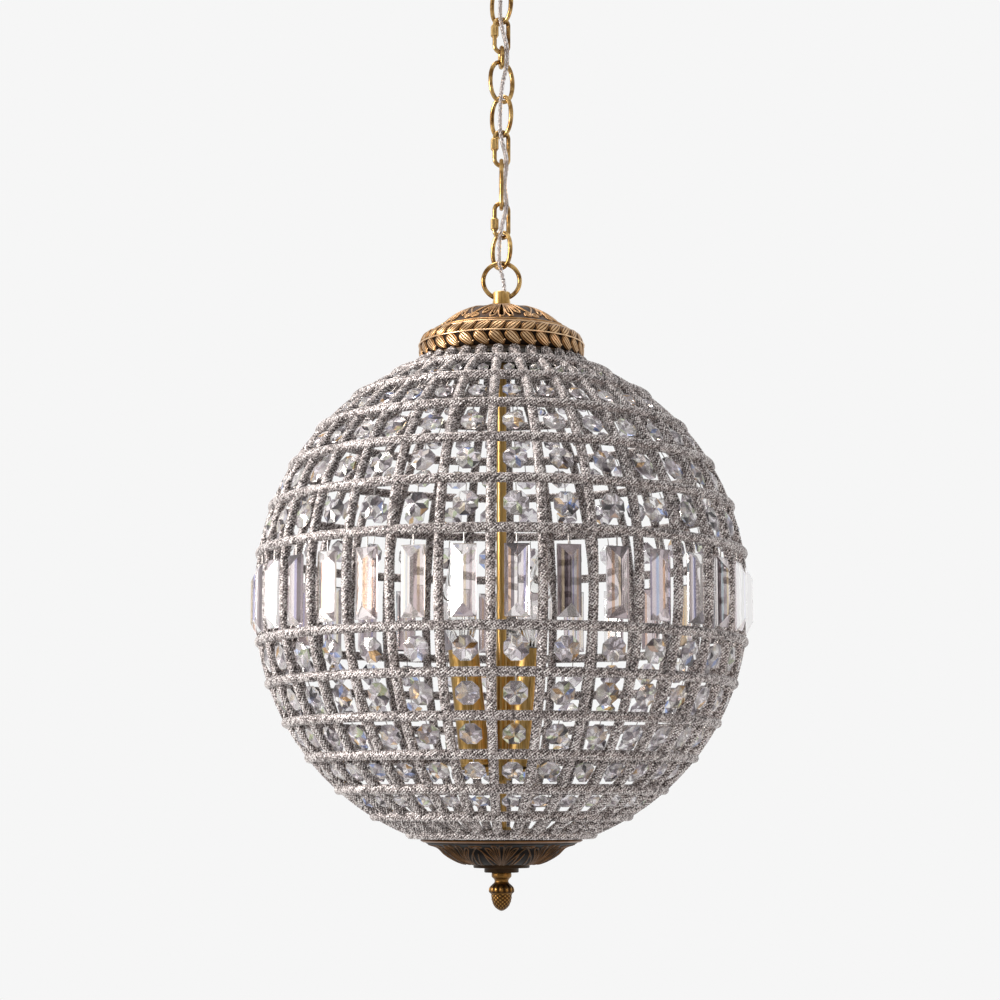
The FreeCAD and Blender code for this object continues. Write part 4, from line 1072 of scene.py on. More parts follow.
def sleeve_part(side):
    """The hexagonal sleeve on the link's left leg: flats, end necks and a bore."""
    middle = side * (QUICK_LENGTH - QUICK_WIDTH - SLEEVE_LENGTH) / 2
    half = SLEEVE_LENGTH / 2
    shoulder = half - SLEEVE_NECK
    flat = SLEEVE_FLATS / 2
    neck = flat - SLEEVE_STEP
    upper = [
        (flat, shoulder - SLEEVE_EDGE), (flat - SLEEVE_EDGE, shoulder), (neck, shoulder), (neck, half),
        (WIRE / 2 + SLEEVE_PLAY, half),
    ]
    profile = [(radius, -height) for radius, height in upper[::-1]] + upper
    points = []
    for k in range(SLEEVE_SIDES):
        angle = FULL_TURN * k / SLEEVE_SIDES
        hexed = 1 / math.cos((angle + SIXTH / 2) % SIXTH - SIXTH / 2)
        for radius, height in profile:
            reach = radius * min(hexed, SLEEVE_CORNER) if radius > neck else radius
            points.append(Vector((LEG + reach * math.cos(angle), reach * math.sin(angle), middle + height)))
    faces = grid_faces(SLEEVE_SIDES, len(profile), closed=True, turned_over=True)
    return points, faces, [0.0] * len(points)


print("sleeve", round(SLEEVE_LENGTH / MM), "mm long")

# %% Screw links and sleeves
QUICK_SIDES = {"quick_link_2": 1, "quick_link_6": 1, "quick_link_8": -1}
QUICK_TURN = 15

for node, side in QUICK_SIDES.items():
    path = screw_link_path(side)
    radii = []
    for point in path:
        on_leg = abs(point.x - LEG) < MM / 10
        threaded = on_leg and abs(point.z - side * SLEEVE_LENGTH / 2) < SLEEVE_LENGTH / 2
        groove = THREAD_DEPTH * (0.5 - 0.5 * math.cos(FULL_TURN * point.z / THREAD_PITCH))
        radii.append(WIRE / 2 - (groove if threaded else 0.0))
    height = middle_height(node)
    brass_piece("wire_" + node, node, stood_up([swept(path, radii, WIRE_SIDES)], QUICK_TURN, height))
    sleeve_node = node.replace("link", "link_sleeve")
    sleeve = brass_piece(
        "hex_" + sleeve_node, sleeve_node, stood_up([sleeve_part(side)], QUICK_TURN, height)
    )
    sleeve.data.polygons.foreach_set("use_smooth", [False] * len(sleeve.data.polygons))
print("screw links", len(QUICK_SIDES))

# %% [markdown]
# ## The clear flex
# The lamp's flex is two tinned wires twisted together in a clear sheath, woven through the chain
# from the canopy's collar to the ball's. It is cut into twelve lengths, one for each joint of the
# chain, each running from the middle of the link above the joint to the middle of the link below
# it and turning smoothly between them. The line is one smooth curve through the whole chain, and
# each length takes its share of it, so that the cut faces stay together.

# %% Flex: sheath and wires
CORD_RADIUS = 2.2 * MM
SHEATH_SIDES = 16
STRAND_RADIUS = 0.6 * MM
STRAND_OFFSET = 0.8 * MM
STRAND_TWIST = 11 * MM
STRAND_SIDES = 8
CORD_ROUTE_MM = (
    (1.5, -5.8, -38.8), (1.5, -5.8, -50.0), (-0.3, -7.2, -70.0), (-1.2, -7.0, -87.0),
    (-1.6, -6.7, -104.0), (1.8, -6.8, -120.0), (5.4, -4.1, -132.5), (5.8, -3.7, -142.0),
    (5.6, -2.7, -154.0), (1.4, -6.9, -172.0), (-0.9, -7.2, -190.0), (-1.6, -6.6, -210.0),
    (-1.6, -6.8, -226.0), (1.8, -6.6, -240.0), (4.9, -4.5, -251.0), (5.2, -4.0, -263.0),
    (2.4, -1.8, -280.0), (5.1, -4.1, -296.0), (5.0, -4.2, -307.0), (1.2, -7.0, -321.0),
    (-1.8, -6.6, -335.0), (-2.6, -6.2, -351.0), (-2.4, -6.3, -365.0), (3.0, -5.2, -383.0),
    (3.0, -5.2, -395.1),
)

# The sheath is extruded soft PVC: clear as water, with a faint haze that blurs its highlights.
HAZE_MM = 6
clear_sheath, tree = new_material("clear_pvc_sheath")
place = add_node(tree, "ShaderNodeTexCoord")
haze = add_node(
    tree, "ShaderNodeTexNoise", {"Scale": 1 / (HAZE_MM * MM), "Detail": 3.0},
    {"Vector": place.outputs["Object"]},
)
rough = add_node(tree, "ShaderNodeMapRange", {"To Min": 0.05, "To Max": 0.3}, {"Value": haze.outputs["Fac"]})
sheath = add_node(
    tree, "ShaderNodeBsdfPrincipled",
    {"Base Color": linear("#f6f3f3"), "Transmission Weight": 0.95, "IOR": 1.35},
    {"Roughness": rough.outputs["Result"]},
)
add_node(tree, "ShaderNodeOutputMaterial", None, {"Surface": sheath.outputs[0]})


def drawn_wire(name, grain_mm, roughness, stops):
    """Bare metal wire whose tone changes a little from place to place."""
    material, tree = new_material(name)
    place = add_node(tree, "ShaderNodeTexCoord")
    uneven = add_node(
        tree, "ShaderNodeTexNoise", {"Scale": 1 / (grain_mm * MM), "Detail": 2.0},
        {"Vector": place.outputs["Object"]},
    )
    ramp = add_node(tree, "ShaderNodeValToRGB", None, {"Fac": uneven.outputs["Fac"]})
    colour = set_stops(ramp, stops)
    metal = add_node(
        tree, "ShaderNodeBsdfPrincipled", {"Metallic": 1.0, "Roughness": roughness},
        {"Base Color": colour},
    )
    add_node(tree, "ShaderNodeOutputMaterial", None, {"Surface": metal.outputs[0]})
    return material


# Tinned copper is pale grey and dull, so the strands show as a light twist inside the sheath.
TINNED_STOPS = ((0.3, "#a79c98"), (0.55, "#d2cac6"), (0.8, "#f4f0ed"))
tinned_wire = drawn_wire("tinned_copper_wire", 1.5, 0.42, TINNED_STOPS)
print("flex", round(2 * CORD_RADIUS / MM, 1), "mm thick")


# %% Flex: the smooth line
LINE_ORDER = 3
LINE_RESOLUTION = 12


def smooth_line(route):
    """Points along a NURBS curve of low order whose control points are the route."""
    curve = bpy.data.curves.new("flex_line", "CURVE")
    curve.dimensions = "3D"
    curve.resolution_u = LINE_RESOLUTION
    spline = curve.splines.new("NURBS")
    spline.points.add(len(route) - 1)
    for point, (x, y, z) in zip(spline.points, route):
        point.co = (x * MM, y * MM, z * MM, 1)
    spline.order_u = LINE_ORDER
    spline.use_endpoint_u = True
    holder = bpy.data.objects.new("flex_line", curve)
    bpy.context.scene.collection.objects.link(holder)
    depsgraph = bpy.context.evaluated_depsgraph_get()
    mesh = bpy.data.meshes.new_from_object(holder.evaluated_get(depsgraph))
    line = [vertex.co.copy() for vertex in mesh.vertices]
    bpy.data.objects.remove(holder)
    bpy.data.meshes.remove(mesh)
    return line


flex_line = smooth_line(CORD_ROUTE_MM)
flex_length = sum((b - a).length for a, b in zip(flex_line, flex_line[1:]))
print("flex", round(flex_length / MM), "mm,", len(flex_line), "points")


# %% Flex: twisted strands
def strand_points(line, distances, phase):
    """The line of one of the twisted wires beside the flex's centre line."""
    across = Vector((1, 0, 0))
    made = []
    for k, point in enumerate(line):
        along = (line[min(k + 1, len(line) - 1)] - line[max(k - 1, 0)]).normalized()
        across = (across - along * across.dot(along)).normalized()
        other = along.cross(across)
        turn = FULL_TURN * distances[k] / STRAND_TWIST + phase
        made.append(point + (across * math.cos(turn) + other * math.sin(turn)) * STRAND_OFFSET)
    return made


distances = [0.0]
for a, b in zip(flex_line, flex_line[1:]):
    distances.append(distances[-1] + (b - a).length)
strands = [strand_points(flex_line, distances, phase) for phase in (0.0, math.pi)]
print("turns of the strands", round(flex_length / STRAND_TWIST))

# %% Flex: twelve lengths
CHAIN_BODIES = [
    "ceiling_mount", "canopy_ring", "oval_link_1", "quick_link_2", "short_link_3", "oval_link_4",
    "oval_link_5", "quick_link_6", "long_link_7", "quick_link_8", "oval_link_9", "hanging_ring", "globe",
]

cuts = [flex_line[0].z]
for body in CHAIN_BODIES[1:-1]:
    cuts.append(middle_height(body))
cuts.append(flex_line[-1].z)
for number, (upper, lower) in enumerate(zip(CHAIN_BODIES, CHAIN_BODIES[1:])):
    top, bottom = cuts[number], cuts[number + 1]
    inside = [k for k, point in enumerate(flex_line) if bottom <= point.z <= top]
    first, last = max(inside[0] - 1, 0) if number else 0, inside[-1]
    span = range(first, last + 1)
    parts = [swept([flex_line[k] for k in span], [CORD_RADIUS] * len(span), SHEATH_SIDES)]
    sheath_faces = len(parts[0][1])
    for line in strands:
        parts.append(swept([line[k] for k in span], [STRAND_RADIUS] * len(span), STRAND_SIDES))
    points, faces, _ = joined(parts)
    length = mesh_piece("flex_%02d" % (number + 1), points, faces, clear_sheath)
    length.data.materials.append(tinned_wire)
    for index in range(sheath_faces, len(faces)):
        length.data.polygons[index].material_index = 1
    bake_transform(length)
    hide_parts("power_cord")
print("lengths of flex", len(CHAIN_BODIES) - 1)

# %% [markdown]
# ## The laurel band
# The band is a cast ring with a garland of laurel: pairs of leaves that spring from a stem along
# its middle and all point the same way. One leaf is made flat, along and across the band, and then
# wrapped onto the band's rounded shoulder. The grooves along it are real depth, and the same depth
# decides how much of the patina is left in them.

# %% A surface to wrap on
def smooth_between(table, steps):
    """Points on the usual cubic curve through the table's points, `steps` to each stretch."""
    made = []
    last = len(table) - 1
    for k in range(last):
        before, here, after, beyond = (table[max(0, min(last, k + shift))] for shift in (-1, 0, 1, 2))
        for step in range(steps):
            t = step / steps
            point = []
            for a, b, c, d in zip(before, here, after, beyond):
                bend, twist = 2 * a - 5 * b + 4 * c - d, 3 * b - a - 3 * c + d
                point.append(0.5 * (2 * b + (c - a) * t + bend * t * t + twist * t ** 3))
            made.append(tuple(point))
    made.append(tuple(table[last]))
    return made


class Surface:
    """A turned surface that flat designs can be wrapped on: distance along its profile, and angle."""

    def __init__(self, profile):
        self.profile = profile
        self.lengths = [0.0]
        for (r0, z0), (r1, z1) in zip(profile, profile[1:]):
            self.lengths.append(self.lengths[-1] + math.hypot(r1 - r0, z1 - z0))
        self.total = self.lengths[-1]

    def at(self, along, angle, height=0.0):
        """The point at a distance along the profile and an angle, lifted off the surface."""
        along = max(0.0, min(self.total, along))
        k = 1
        while k < len(self.lengths) - 1 and self.lengths[k] < along:
            k += 1
        (r0, z0), (r1, z1) = self.profile[k - 1], self.profile[k]
        share = (along - self.lengths[k - 1]) / max(self.lengths[k] - self.lengths[k - 1], 1e-9)
        step = Vector((r1 - r0, z1 - z0)).normalized()
        radius = r0 + (r1 - r0) * share + step.y * height
        up = z0 + (z1 - z0) * share - step.x * height
        return polar(radius, angle, up)


print("the curve of two points has", len(smooth_between([(0, 0), (1, 1)], 2)))

# %% The band's shoulder
BAND_LOW, BAND_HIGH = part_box("laurel_band")
BAND_RADIUS = BAND_HIGH.x
BAND_BULGE = 9 * MM
BAND_SHARES = ((0.35, 0.0), (0.12, 0.12), (0.0, 0.4), (0.08, 0.68), (0.4, 0.9), (1.0, 1.0))
GROUND_SUNK = 1.6 * MM
BAND_WALL = 5 * MM
BAND_STEPS = 6

band_table = [
    (BAND_RADIUS - GROUND_SUNK - BAND_BULGE * a, BAND_LOW.z + (BAND_HIGH.z - BAND_LOW.z) * b)
    for a, b in BAND_SHARES
]
band_profile = smooth_between(band_table, BAND_STEPS)
band_surface = Surface(band_profile)
print("band's profile", round(band_surface.total / MM, 1), "mm")

# %% The band's leaves
LEAF_PAIRS = 33
LEAF_LENGTHS = {1: 22 * MM, -1: 20.5 * MM}
LEAF_LEANS = {1: math.radians(36), -1: math.radians(42)}
LEAF_HALF_WIDTH = 6.8 * MM
LEAF_RISE = 1.15 * MM
LEAF_TIP_LIFT = 0.5 * MM
LEAF_WIDEST_POWER = 0.76
LEAF_ROUND_POWER = 0.66
CROWN_POWER = 4
CROWN_ROOT_SHARE = 0.2
CROWN_SLOPE = 6
EDGE_POWER = 6
EDGE_SUNK = 1.0 * MM
VEINS = 2.5
GROOVE_DEPTH = 0.7 * MM
LEAF_STEPS = 18
LEAF_WIDTH_STEPS = 20
RUBBED_GROUND, RUBBED_CROWN, RUBBED_GROOVE, RUBBED_EDGE = 0.3, 0.62, 0.75, 0.25
BAND_STEM_SHARE = 0.51
band_stem = band_surface.total * BAND_STEM_SHARE


def laurel_leaf(root_angle, half):
    """One leaf from the stem, leaning up or down along the band, wrapped on the shoulder."""
    lean = LEAF_LEANS[half]
    points, values = [], []
    for i in range(LEAF_STEPS + 1):
        u = i / LEAF_STEPS
        width = LEAF_HALF_WIDTH * max(math.sin(math.pi * u ** LEAF_WIDEST_POWER), 0.0) ** LEAF_ROUND_POWER
        for j in range(LEAF_WIDTH_STEPS + 1):
            v = 2 * j / LEAF_WIDTH_STEPS - 1
            x = u * LEAF_LENGTHS[half] * math.cos(lean) - v * width * math.sin(lean)
            y = u * LEAF_LENGTHS[half] * math.sin(lean) + v * width * math.cos(lean)
            edge = v ** CROWN_POWER
            crown = (1 - edge) * min(1.0, CROWN_SLOPE * u * (1 - u) + CROWN_ROOT_SHARE)
            groove = (1 - abs(math.cos(math.pi * VEINS * v))) ** 2
            height = LEAF_RISE * crown - GROOVE_DEPTH * groove
            height += LEAF_TIP_LIFT * u - EDGE_SUNK * v ** EDGE_POWER
            points.append(band_surface.at(band_stem + half * y, root_angle + x / BAND_RADIUS, height))
            rubbed = RUBBED_GROUND + RUBBED_CROWN * crown - RUBBED_GROOVE * groove - RUBBED_EDGE * edge
            values.append(max(0.0, rubbed))
    faces = grid_faces(
        LEAF_STEPS + 1, LEAF_WIDTH_STEPS + 1, closed=False, turned_over=True, open_columns=True
    )
    return points, [face[::half] for face in faces], values


print("leaves", 2 * LEAF_PAIRS)

# %% The band's berries, rims and ground
BERRY_RADIUS = 1.1 * MM
BERRY_FROM_STEM = 9.8 * MM
BERRY_LIFT = 0.3 * MM
BERRY_BACK_SHARE = 0.06
BERRY_STEPS = 6
BERRY_SIDES = 10
BERRY_RUBBED = 0.95
BAND_SIDES = 192
BAND_HOOPS = (
    (0.015, 0.3 * MM, 1.3 * MM, 160, 10, 0.3), (0.985, 0.3 * MM, 1.3 * MM, 160, 10, 0.9),
    (BAND_STEM_SHARE, 1.3 * MM, 0.9 * MM, BAND_SIDES, 8, 0.95),
)


def berry(angle, half):
    """A small round berry in the gap between two leaves."""
    centre = band_surface.at(band_stem + half * BERRY_FROM_STEM, angle, BERRY_LIFT)
    turns = [math.pi * k / BERRY_STEPS for k in range(BERRY_STEPS + 1)]
    profile = [(BERRY_RADIUS * math.sin(turn), BERRY_RADIUS * math.cos(turn)) for turn in turns]
    points, faces, values = turned(profile, BERRY_SIDES, lambda index: BERRY_RUBBED)
    return [centre + point for point in points], faces, values


def hoop(surface, share, lift, bar, steps, sides, relief):
    """A bar laid level round a surface, at a share of the way along its profile."""
    circle = [surface.at(surface.total * share, FULL_TURN * k / steps, lift) for k in range(steps)]
    return swept(circle, [bar] * steps, sides, closed=True, relief=relief)


band_parts = []
for pair in range(LEAF_PAIRS):
    angle = FULL_TURN * pair / LEAF_PAIRS
    for half in (1, -1):
        band_parts.append(laurel_leaf(angle, half))
        band_parts.append(berry(angle - BERRY_BACK_SHARE * FULL_TURN / LEAF_PAIRS, half))

inner_line = [(radius - BAND_WALL, height) for radius, height in band_profile]
band_parts.append(turned(band_profile + inner_line[::-1], BAND_SIDES))
band_parts += [hoop(band_surface, *sizes) for sizes in BAND_HOOPS]
points, faces, relief = joined(band_parts)
band = mesh_piece("cast_laurel_band", points, faces, crown_bronze, values={"relief": relief})
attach(band, "globe")
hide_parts("laurel_band")
print("band faces", len(faces))

# %% [markdown]
# ## Openwork castings
# The crown's dome and the bottom cup are cast with the same design: a palmette of five lobes, and
# a pair of scrolls between one palmette and the next, six times round the dome and eight round
# the cup, where folds of the leaf fill the space under the scrolls. The design is drawn once, as
# lines in shares of a sector: `a` from -1 to 1 across it and `s` from 0 at the rim to 1 at the
# middle. A lobe is a thin ridge that runs out from the middle, round the lobe's end near the rim
# and back, and a second ridge along it is its vein. A pair of shares gives a value at a line's
# start and what it gains by the line's end.

# %% The palmette's lobes
REPEATS = 6
FIRST_PALMETTE = math.radians(-90)
LOBES = (-2, -1, 0, 1, 2)
LOBE_ROOT = 0.94
LOBE_SPREAD = 0.045
LOBE_BEND = 1.5
LOBE_CROWDING = 1.7
LOBE_END_SHARES = {0: (0.0, 0.09), 1: (0.31, 0.11), 2: (0.6, 0.24)}
LOBE_HALF_WIDTH_SHARES = (0.03, 0.085)
LOBE_THICK_SHARES = (0.65, 0.45)
LOBE_ROUND_SHARE = 0.22
VEIN_SHARES = (0.05, 0.8)
VEIN_THICK_SHARES = (0.5, 0.2)
LINE_STEPS = 30


def gained(pair, t):
    """A value that starts at the pair's first number and gains the second."""
    return pair[0] + pair[1] * t


def shares_of(count):
    """Even shares from 0 to 1."""
    return [step / count for step in range(count + 1)]


def lobe_middle(k, t):
    """The middle of lobe k, at t from 0 at its root to 1 at its end."""
    end_a, end_s = LOBE_END_SHARES[abs(k)]
    root_a = LOBE_SPREAD * abs(k)
    return math.copysign(root_a + (end_a - root_a) * t ** LOBE_BEND, k), LOBE_ROOT + (end_s - LOBE_ROOT) * t


def lobe_half_width(t):
    """Half the lobe's width, in shares of the half sector, closing in a round end."""
    past = max(0.0, (t - 1 + LOBE_ROUND_SHARE) / LOBE_ROUND_SHARE)
    return gained(LOBE_HALF_WIDTH_SHARES, t) * math.sqrt(max(1 - past ** 2, 0.0))


def lobe_line(k):
    """The ridge round lobe k: out along one side, round the end and back."""
    line = []
    for step in range(-LINE_STEPS, LINE_STEPS + 1):
        u = step / LINE_STEPS
        t = 1 - abs(u) ** LOBE_CROWDING
        a, s = lobe_middle(k, t)
        line.append((a + math.copysign(lobe_half_width(t), u), s, gained(LOBE_THICK_SHARES, t)))
    return line


def vein_line(k):
    """The ridge along the middle of lobe k."""
    shares = shares_of(LINE_STEPS)
    return [(*lobe_middle(k, gained(VEIN_SHARES, t)), gained(VEIN_THICK_SHARES, t)) for t in shares]


print("lobes", len(LOBES))

# %% Scrolls and folds
STALK_SHARES = (0.16, 0.84)
STALK_BEND = 1.25
STALK_RISE = 0.7
STALK_THICK_SHARES = (0.8, 0.3)
SCROLL_CENTRE_SHARES = (0.86, 0.2)
SCROLL_TURNS = 1.55
SCROLL_START = 0.35
SCROLL_RADIUS_SHARE = 0.135
SCROLL_CLOSING_SHARES = (1, -0.72)
SCROLL_SQUASH = 0.52
SCROLL_THICK_SHARES = (1.1, -0.2)
FOLD_LOW = 0.92
FOLD_HIGH = 0.42
FOLD_SPREAD_SHARES = (0.7, 0.3)
FOLD_THICK_SHARES = (0.75, 0.35)
RIDGE_SIDES = 8
RIDGE_RUBBED = 0.78


def scroll_line(side):
    """A stalk from the middle that curls in on itself near the rim, beside the palmette."""
    centre_a, centre_s = SCROLL_CENTRE_SHARES
    line = []
    for t in shares_of(LINE_STEPS):
        across = gained(STALK_SHARES, t ** STALK_BEND)
        line.append((side * across, LOBE_ROOT - STALK_RISE * t, gained(STALK_THICK_SHARES, t)))
    for t in shares_of(2 * LINE_STEPS):
        turn = FULL_TURN * SCROLL_TURNS * t + SCROLL_START
        curl = SCROLL_RADIUS_SHARE * gained(SCROLL_CLOSING_SHARES, t)
        a, s = centre_a + curl * math.cos(turn), centre_s - SCROLL_SQUASH * curl * math.sin(turn)
        line.append((side * a, s, gained(SCROLL_THICK_SHARES, t)))
    return line


def fold_line(a):
    """A fold of the leaf between two palmettes, from the middle up to the scrolls."""
    line = []
    for t in shares_of(LINE_STEPS):
        thick = gained(FOLD_THICK_SHARES, math.sin(math.pi * t))
        line.append((a * gained(FOLD_SPREAD_SHARES, t), FOLD_LOW + (FOLD_HIGH - FOLD_LOW) * t, thick))
    return line


def wrapped_ridge(surface, line, sector, ridge, lift, repeats):
    """A line of the design as a ridge on the surface, thickest where the line says."""
    half_sector = FULL_TURN / repeats / 2
    path, radii = [], []
    for a, s, thick in line:
        angle = (sector * 2 + a) * half_sector + FIRST_PALMETTE
        path.append(surface.at(s * surface.total, angle, lift))
        radii.append(ridge * thick)
    return swept(path, radii, RIDGE_SIDES, relief=RIDGE_RUBBED)


def casting_parts(surface, ridge, lift, repeats, folds=()):
    """All ridges of one casting, with the design drawn `repeats` times round it."""
    lines = [lobe_line(k) for k in LOBES]
    lines += [vein_line(k) for k in LOBES if k]
    lines += [scroll_line(side) for side in (-1, 1)]
    lines += [fold_line(a) for a in folds]
    return [
        wrapped_ridge(surface, line, sector, ridge, lift, repeats)
        for sector in range(repeats) for line in lines
    ]


print("scroll turns", SCROLL_TURNS)

# %% [markdown]
# ## The crown's dome
# The dome's ground is a thin shell, pierced inside the lobes and the scrolls, so that dark gaps
# show from below. It is made as a grid over the dome's profile, and the cells that fall in a
# window are left out. The ridges cover the windows' stepped edges.

# %% The dome's shell
DOME_LOW, DOME_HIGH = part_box("crown_dome")
DOME_RADIUS = DOME_HIGH.x
DOME_LIP = 2.6 * MM
DOME_SHARES = (
    (1.0, 0.0), (0.85, 0.26), (0.77, 0.45), (0.65, 0.68), (0.5, 0.86), (0.31, 0.97), (0.16, 1.0),
)
DOME_STEPS = 10
DOME_SIDES = 480
WINDOW_SHARES = (0.15, 0.93)
WINDOW_WIDTH_SHARE = 0.8
SCROLL_WINDOW = 0.105
SHELL_THICKNESS = 1.4 * MM
SHELL_RUBBED = 0.2

dome_rise = DOME_HIGH.z - DOME_LOW.z - DOME_LIP
dome_table = [(DOME_RADIUS * a, DOME_HIGH.z - dome_rise * (1 - b)) for a, b in DOME_SHARES]
dome_surface = Surface(smooth_between(dome_table, DOME_STEPS))


def in_window(a, s):
    """True where the casting is pierced: inside a lobe, or inside a scroll's curl."""
    first, last = WINDOW_SHARES
    for k in LOBES:
        t = (LOBE_ROOT - s) / (LOBE_ROOT - LOBE_END_SHARES[abs(k)][1])
        if not first < t < last:
            continue
        if abs(a - lobe_middle(k, t)[0]) < WINDOW_WIDTH_SHARE * lobe_half_width(t):
            return True
    centre_a, centre_s = SCROLL_CENTRE_SHARES
    return math.hypot(abs(a) - centre_a, (s - centre_s) / SCROLL_SQUASH) < SCROLL_WINDOW


def pierced_shell(surface, sides, thickness):
    """A thin shell over the surface with its windows left out."""
    rings = len(surface.profile)
    points, faces = [], []
    for depth in (0.0, -thickness):
        for k in range(sides):
            angle = FULL_TURN * k / sides + FIRST_PALMETTE
            points += [surface.at(length, angle, depth) for length in surface.lengths]
    layer = sides * rings
    cells = [(k, j) for k in range(sides) for j in range(rings - 1)]
    open_cells = set()
    for k, j in cells:
        a = ((k + 0.5) / sides * REPEATS + 0.5) % 1.0 * 2 - 1
        s = (surface.lengths[j] + surface.lengths[j + 1]) / 2 / surface.total
        if in_window(a, s):
            open_cells.add((k, j))
    for k, j in cells:
        if (k, j) in open_cells:
            continue
        after = (k + 1) % sides
        top = (k * rings + j, after * rings + j, after * rings + j + 1, k * rings + j + 1)
        faces.append(top)
        faces.append(tuple(index + layer for index in top[::-1]))
        for other, (p, q) in (
            (((k - 1) % sides, j), (top[3], top[0])), ((after, j), (top[1], top[2])),
            ((k, j - 1), (top[0], top[1])), ((k, j + 1), (top[2], top[3])),
        ):
            if other in open_cells or other[1] in (-1, rings - 1):
                faces.append((q, p, p + layer, q + layer))
    return points, faces, [SHELL_RUBBED] * len(points)


print("dome", round(dome_rise / MM, 1), "mm high")

# %% The dome
DOME_RIDGE = 0.95 * MM
DOME_RIDGE_LIFT = 0.3 * MM
DOME_HOOPS = ((0.01, 0.0, 1.2 * MM, 144, 10, 0.75), (0.95, 0.0, 0.9 * MM, 144, 10, 0.75))

dome_parts = casting_parts(dome_surface, DOME_RIDGE, DOME_RIDGE_LIFT, REPEATS)
dome_parts.append(pierced_shell(dome_surface, DOME_SIDES, SHELL_THICKNESS))
dome_parts += [hoop(dome_surface, *sizes) for sizes in DOME_HOOPS]
points, faces, relief = joined(dome_parts)
dome = mesh_piece("cast_crown_dome", points, faces, crown_bronze, values={"relief": relief})
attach(dome, "globe")
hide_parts("crown_dome")
print("dome faces", len(faces))

# %% [markdown]
# ## The bottom cup
# The cup flares to a thin bright rim, falls in an easy S to a flat middle, and steps down twice to
# the boss that the finial screws against. Its bronze is set much darker than the crown's, so the
# palmettes show as brown lines on near black.

# %% The cup's outline
CUP_LOW, CUP_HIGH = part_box("bottom_cup")
CUP_RADIUS = CUP_HIGH.x
CUP_RIM = 4.8 * MM
CUP_WALL = 2.4 * MM
CUP_BOWL = 21.9 * MM
CUP_SKIN = 0.9 * MM
CUP_SHARES = (
    (0.94, 0.0), (0.915, 0.09), (0.79, 0.25), (0.7, 0.56), (0.59, 0.81), (0.48, 0.97), (0.4, 1.0),
)
RIM_IN_AND_DOWN_MM = ((2.6, 0.0), (0.4, 1.9), (0.0, 2.5), (0.6, 3.2), (3.0, 4.4))
INNER_RIM = 1.5 * MM
CUP_STEPS = 6
STEP_RADIUS = 27.6 * MM
STEP_HEIGHT = 2.5 * MM
BOSS_RADIUS = 16.9 * MM
EDGE = 0.5 * MM
CUP_BORE = 5.1 * MM

bowl_high = CUP_HIGH.z - CUP_RIM
bowl_low = bowl_high - CUP_BOWL
step_low = bowl_low - STEP_HEIGHT
cup_table = [(CUP_RADIUS * a, bowl_high - CUP_BOWL * b) for a, b in CUP_SHARES]
cup_profile = smooth_between(cup_table, CUP_STEPS)
skin_profile = [(r, z + CUP_SKIN) for r, z in cup_profile]
rim_line = [(CUP_RADIUS - r * MM, CUP_HIGH.z - z * MM) for r, z in RIM_IN_AND_DOWN_MM]
steps_line = [
    (STEP_RADIUS + EDGE, bowl_low + CUP_SKIN), (STEP_RADIUS, bowl_low), (STEP_RADIUS, step_low + EDGE),
    (STEP_RADIUS - EDGE, step_low), (BOSS_RADIUS + EDGE, step_low), (BOSS_RADIUS, step_low - EDGE),
    (BOSS_RADIUS, CUP_LOW.z + EDGE), (BOSS_RADIUS - EDGE, CUP_LOW.z), (CUP_BORE, CUP_LOW.z),
]
outer_line = rim_line + skin_profile[1:] + steps_line
inner_line = [(CUP_RADIUS - CUP_WALL - INNER_RIM, CUP_HIGH.z)]
inner_line += [(r - CUP_WALL, z + CUP_WALL) for r, z in cup_profile]
inner_line.append((CUP_BORE, bowl_low + CUP_WALL))


print("outline", len(outer_line) + len(inner_line), "points")

# %% The cup
CUP_SIDES = 192
CUP_RIDGE = 0.74 * MM
CUP_REPEATS = 8
CUP_FOLDS = (-0.76, 0.76, 1.0)
RIM_RUBBED, STEPS_RUBBED, BOWL_RUBBED = 0.9, 0.5, 0.17


def cup_relief(index):
    """The rim and the steps are rubbed, the bowl's ground isn't."""
    if index < len(rim_line):
        return RIM_RUBBED
    return STEPS_RUBBED if 0 < len(outer_line) - index <= len(steps_line) else BOWL_RUBBED


def pointing_down(part):
    """The same part with its faces turned over, for an outline that runs the other way round."""
    points, faces, values = part
    return points, [face[::-1] for face in faces], values


cup_parts = [pointing_down(turned(outer_line + inner_line[::-1], CUP_SIDES, cup_relief))]
cup_parts += casting_parts(Surface(skin_profile), CUP_RIDGE, 0.0, CUP_REPEATS, CUP_FOLDS)
points, faces, relief = joined(cup_parts)
cup = mesh_piece("cast_bottom_cup", points, faces, cup_bronze, values={"relief": relief})
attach(cup, "bottom_cup")
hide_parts("bottom_cup")
print("cup faces", len(faces))

# %% [markdown]
# ## The finial
# The knob that holds the cup is an acorn: a moulded head, a narrow neck, a cap cut with flutes and
# a body covered in small scales. It is turned first and then carved: the radius is lowered between
# the flutes by a cosine of the angle, and between the scales by two crossing spirals.

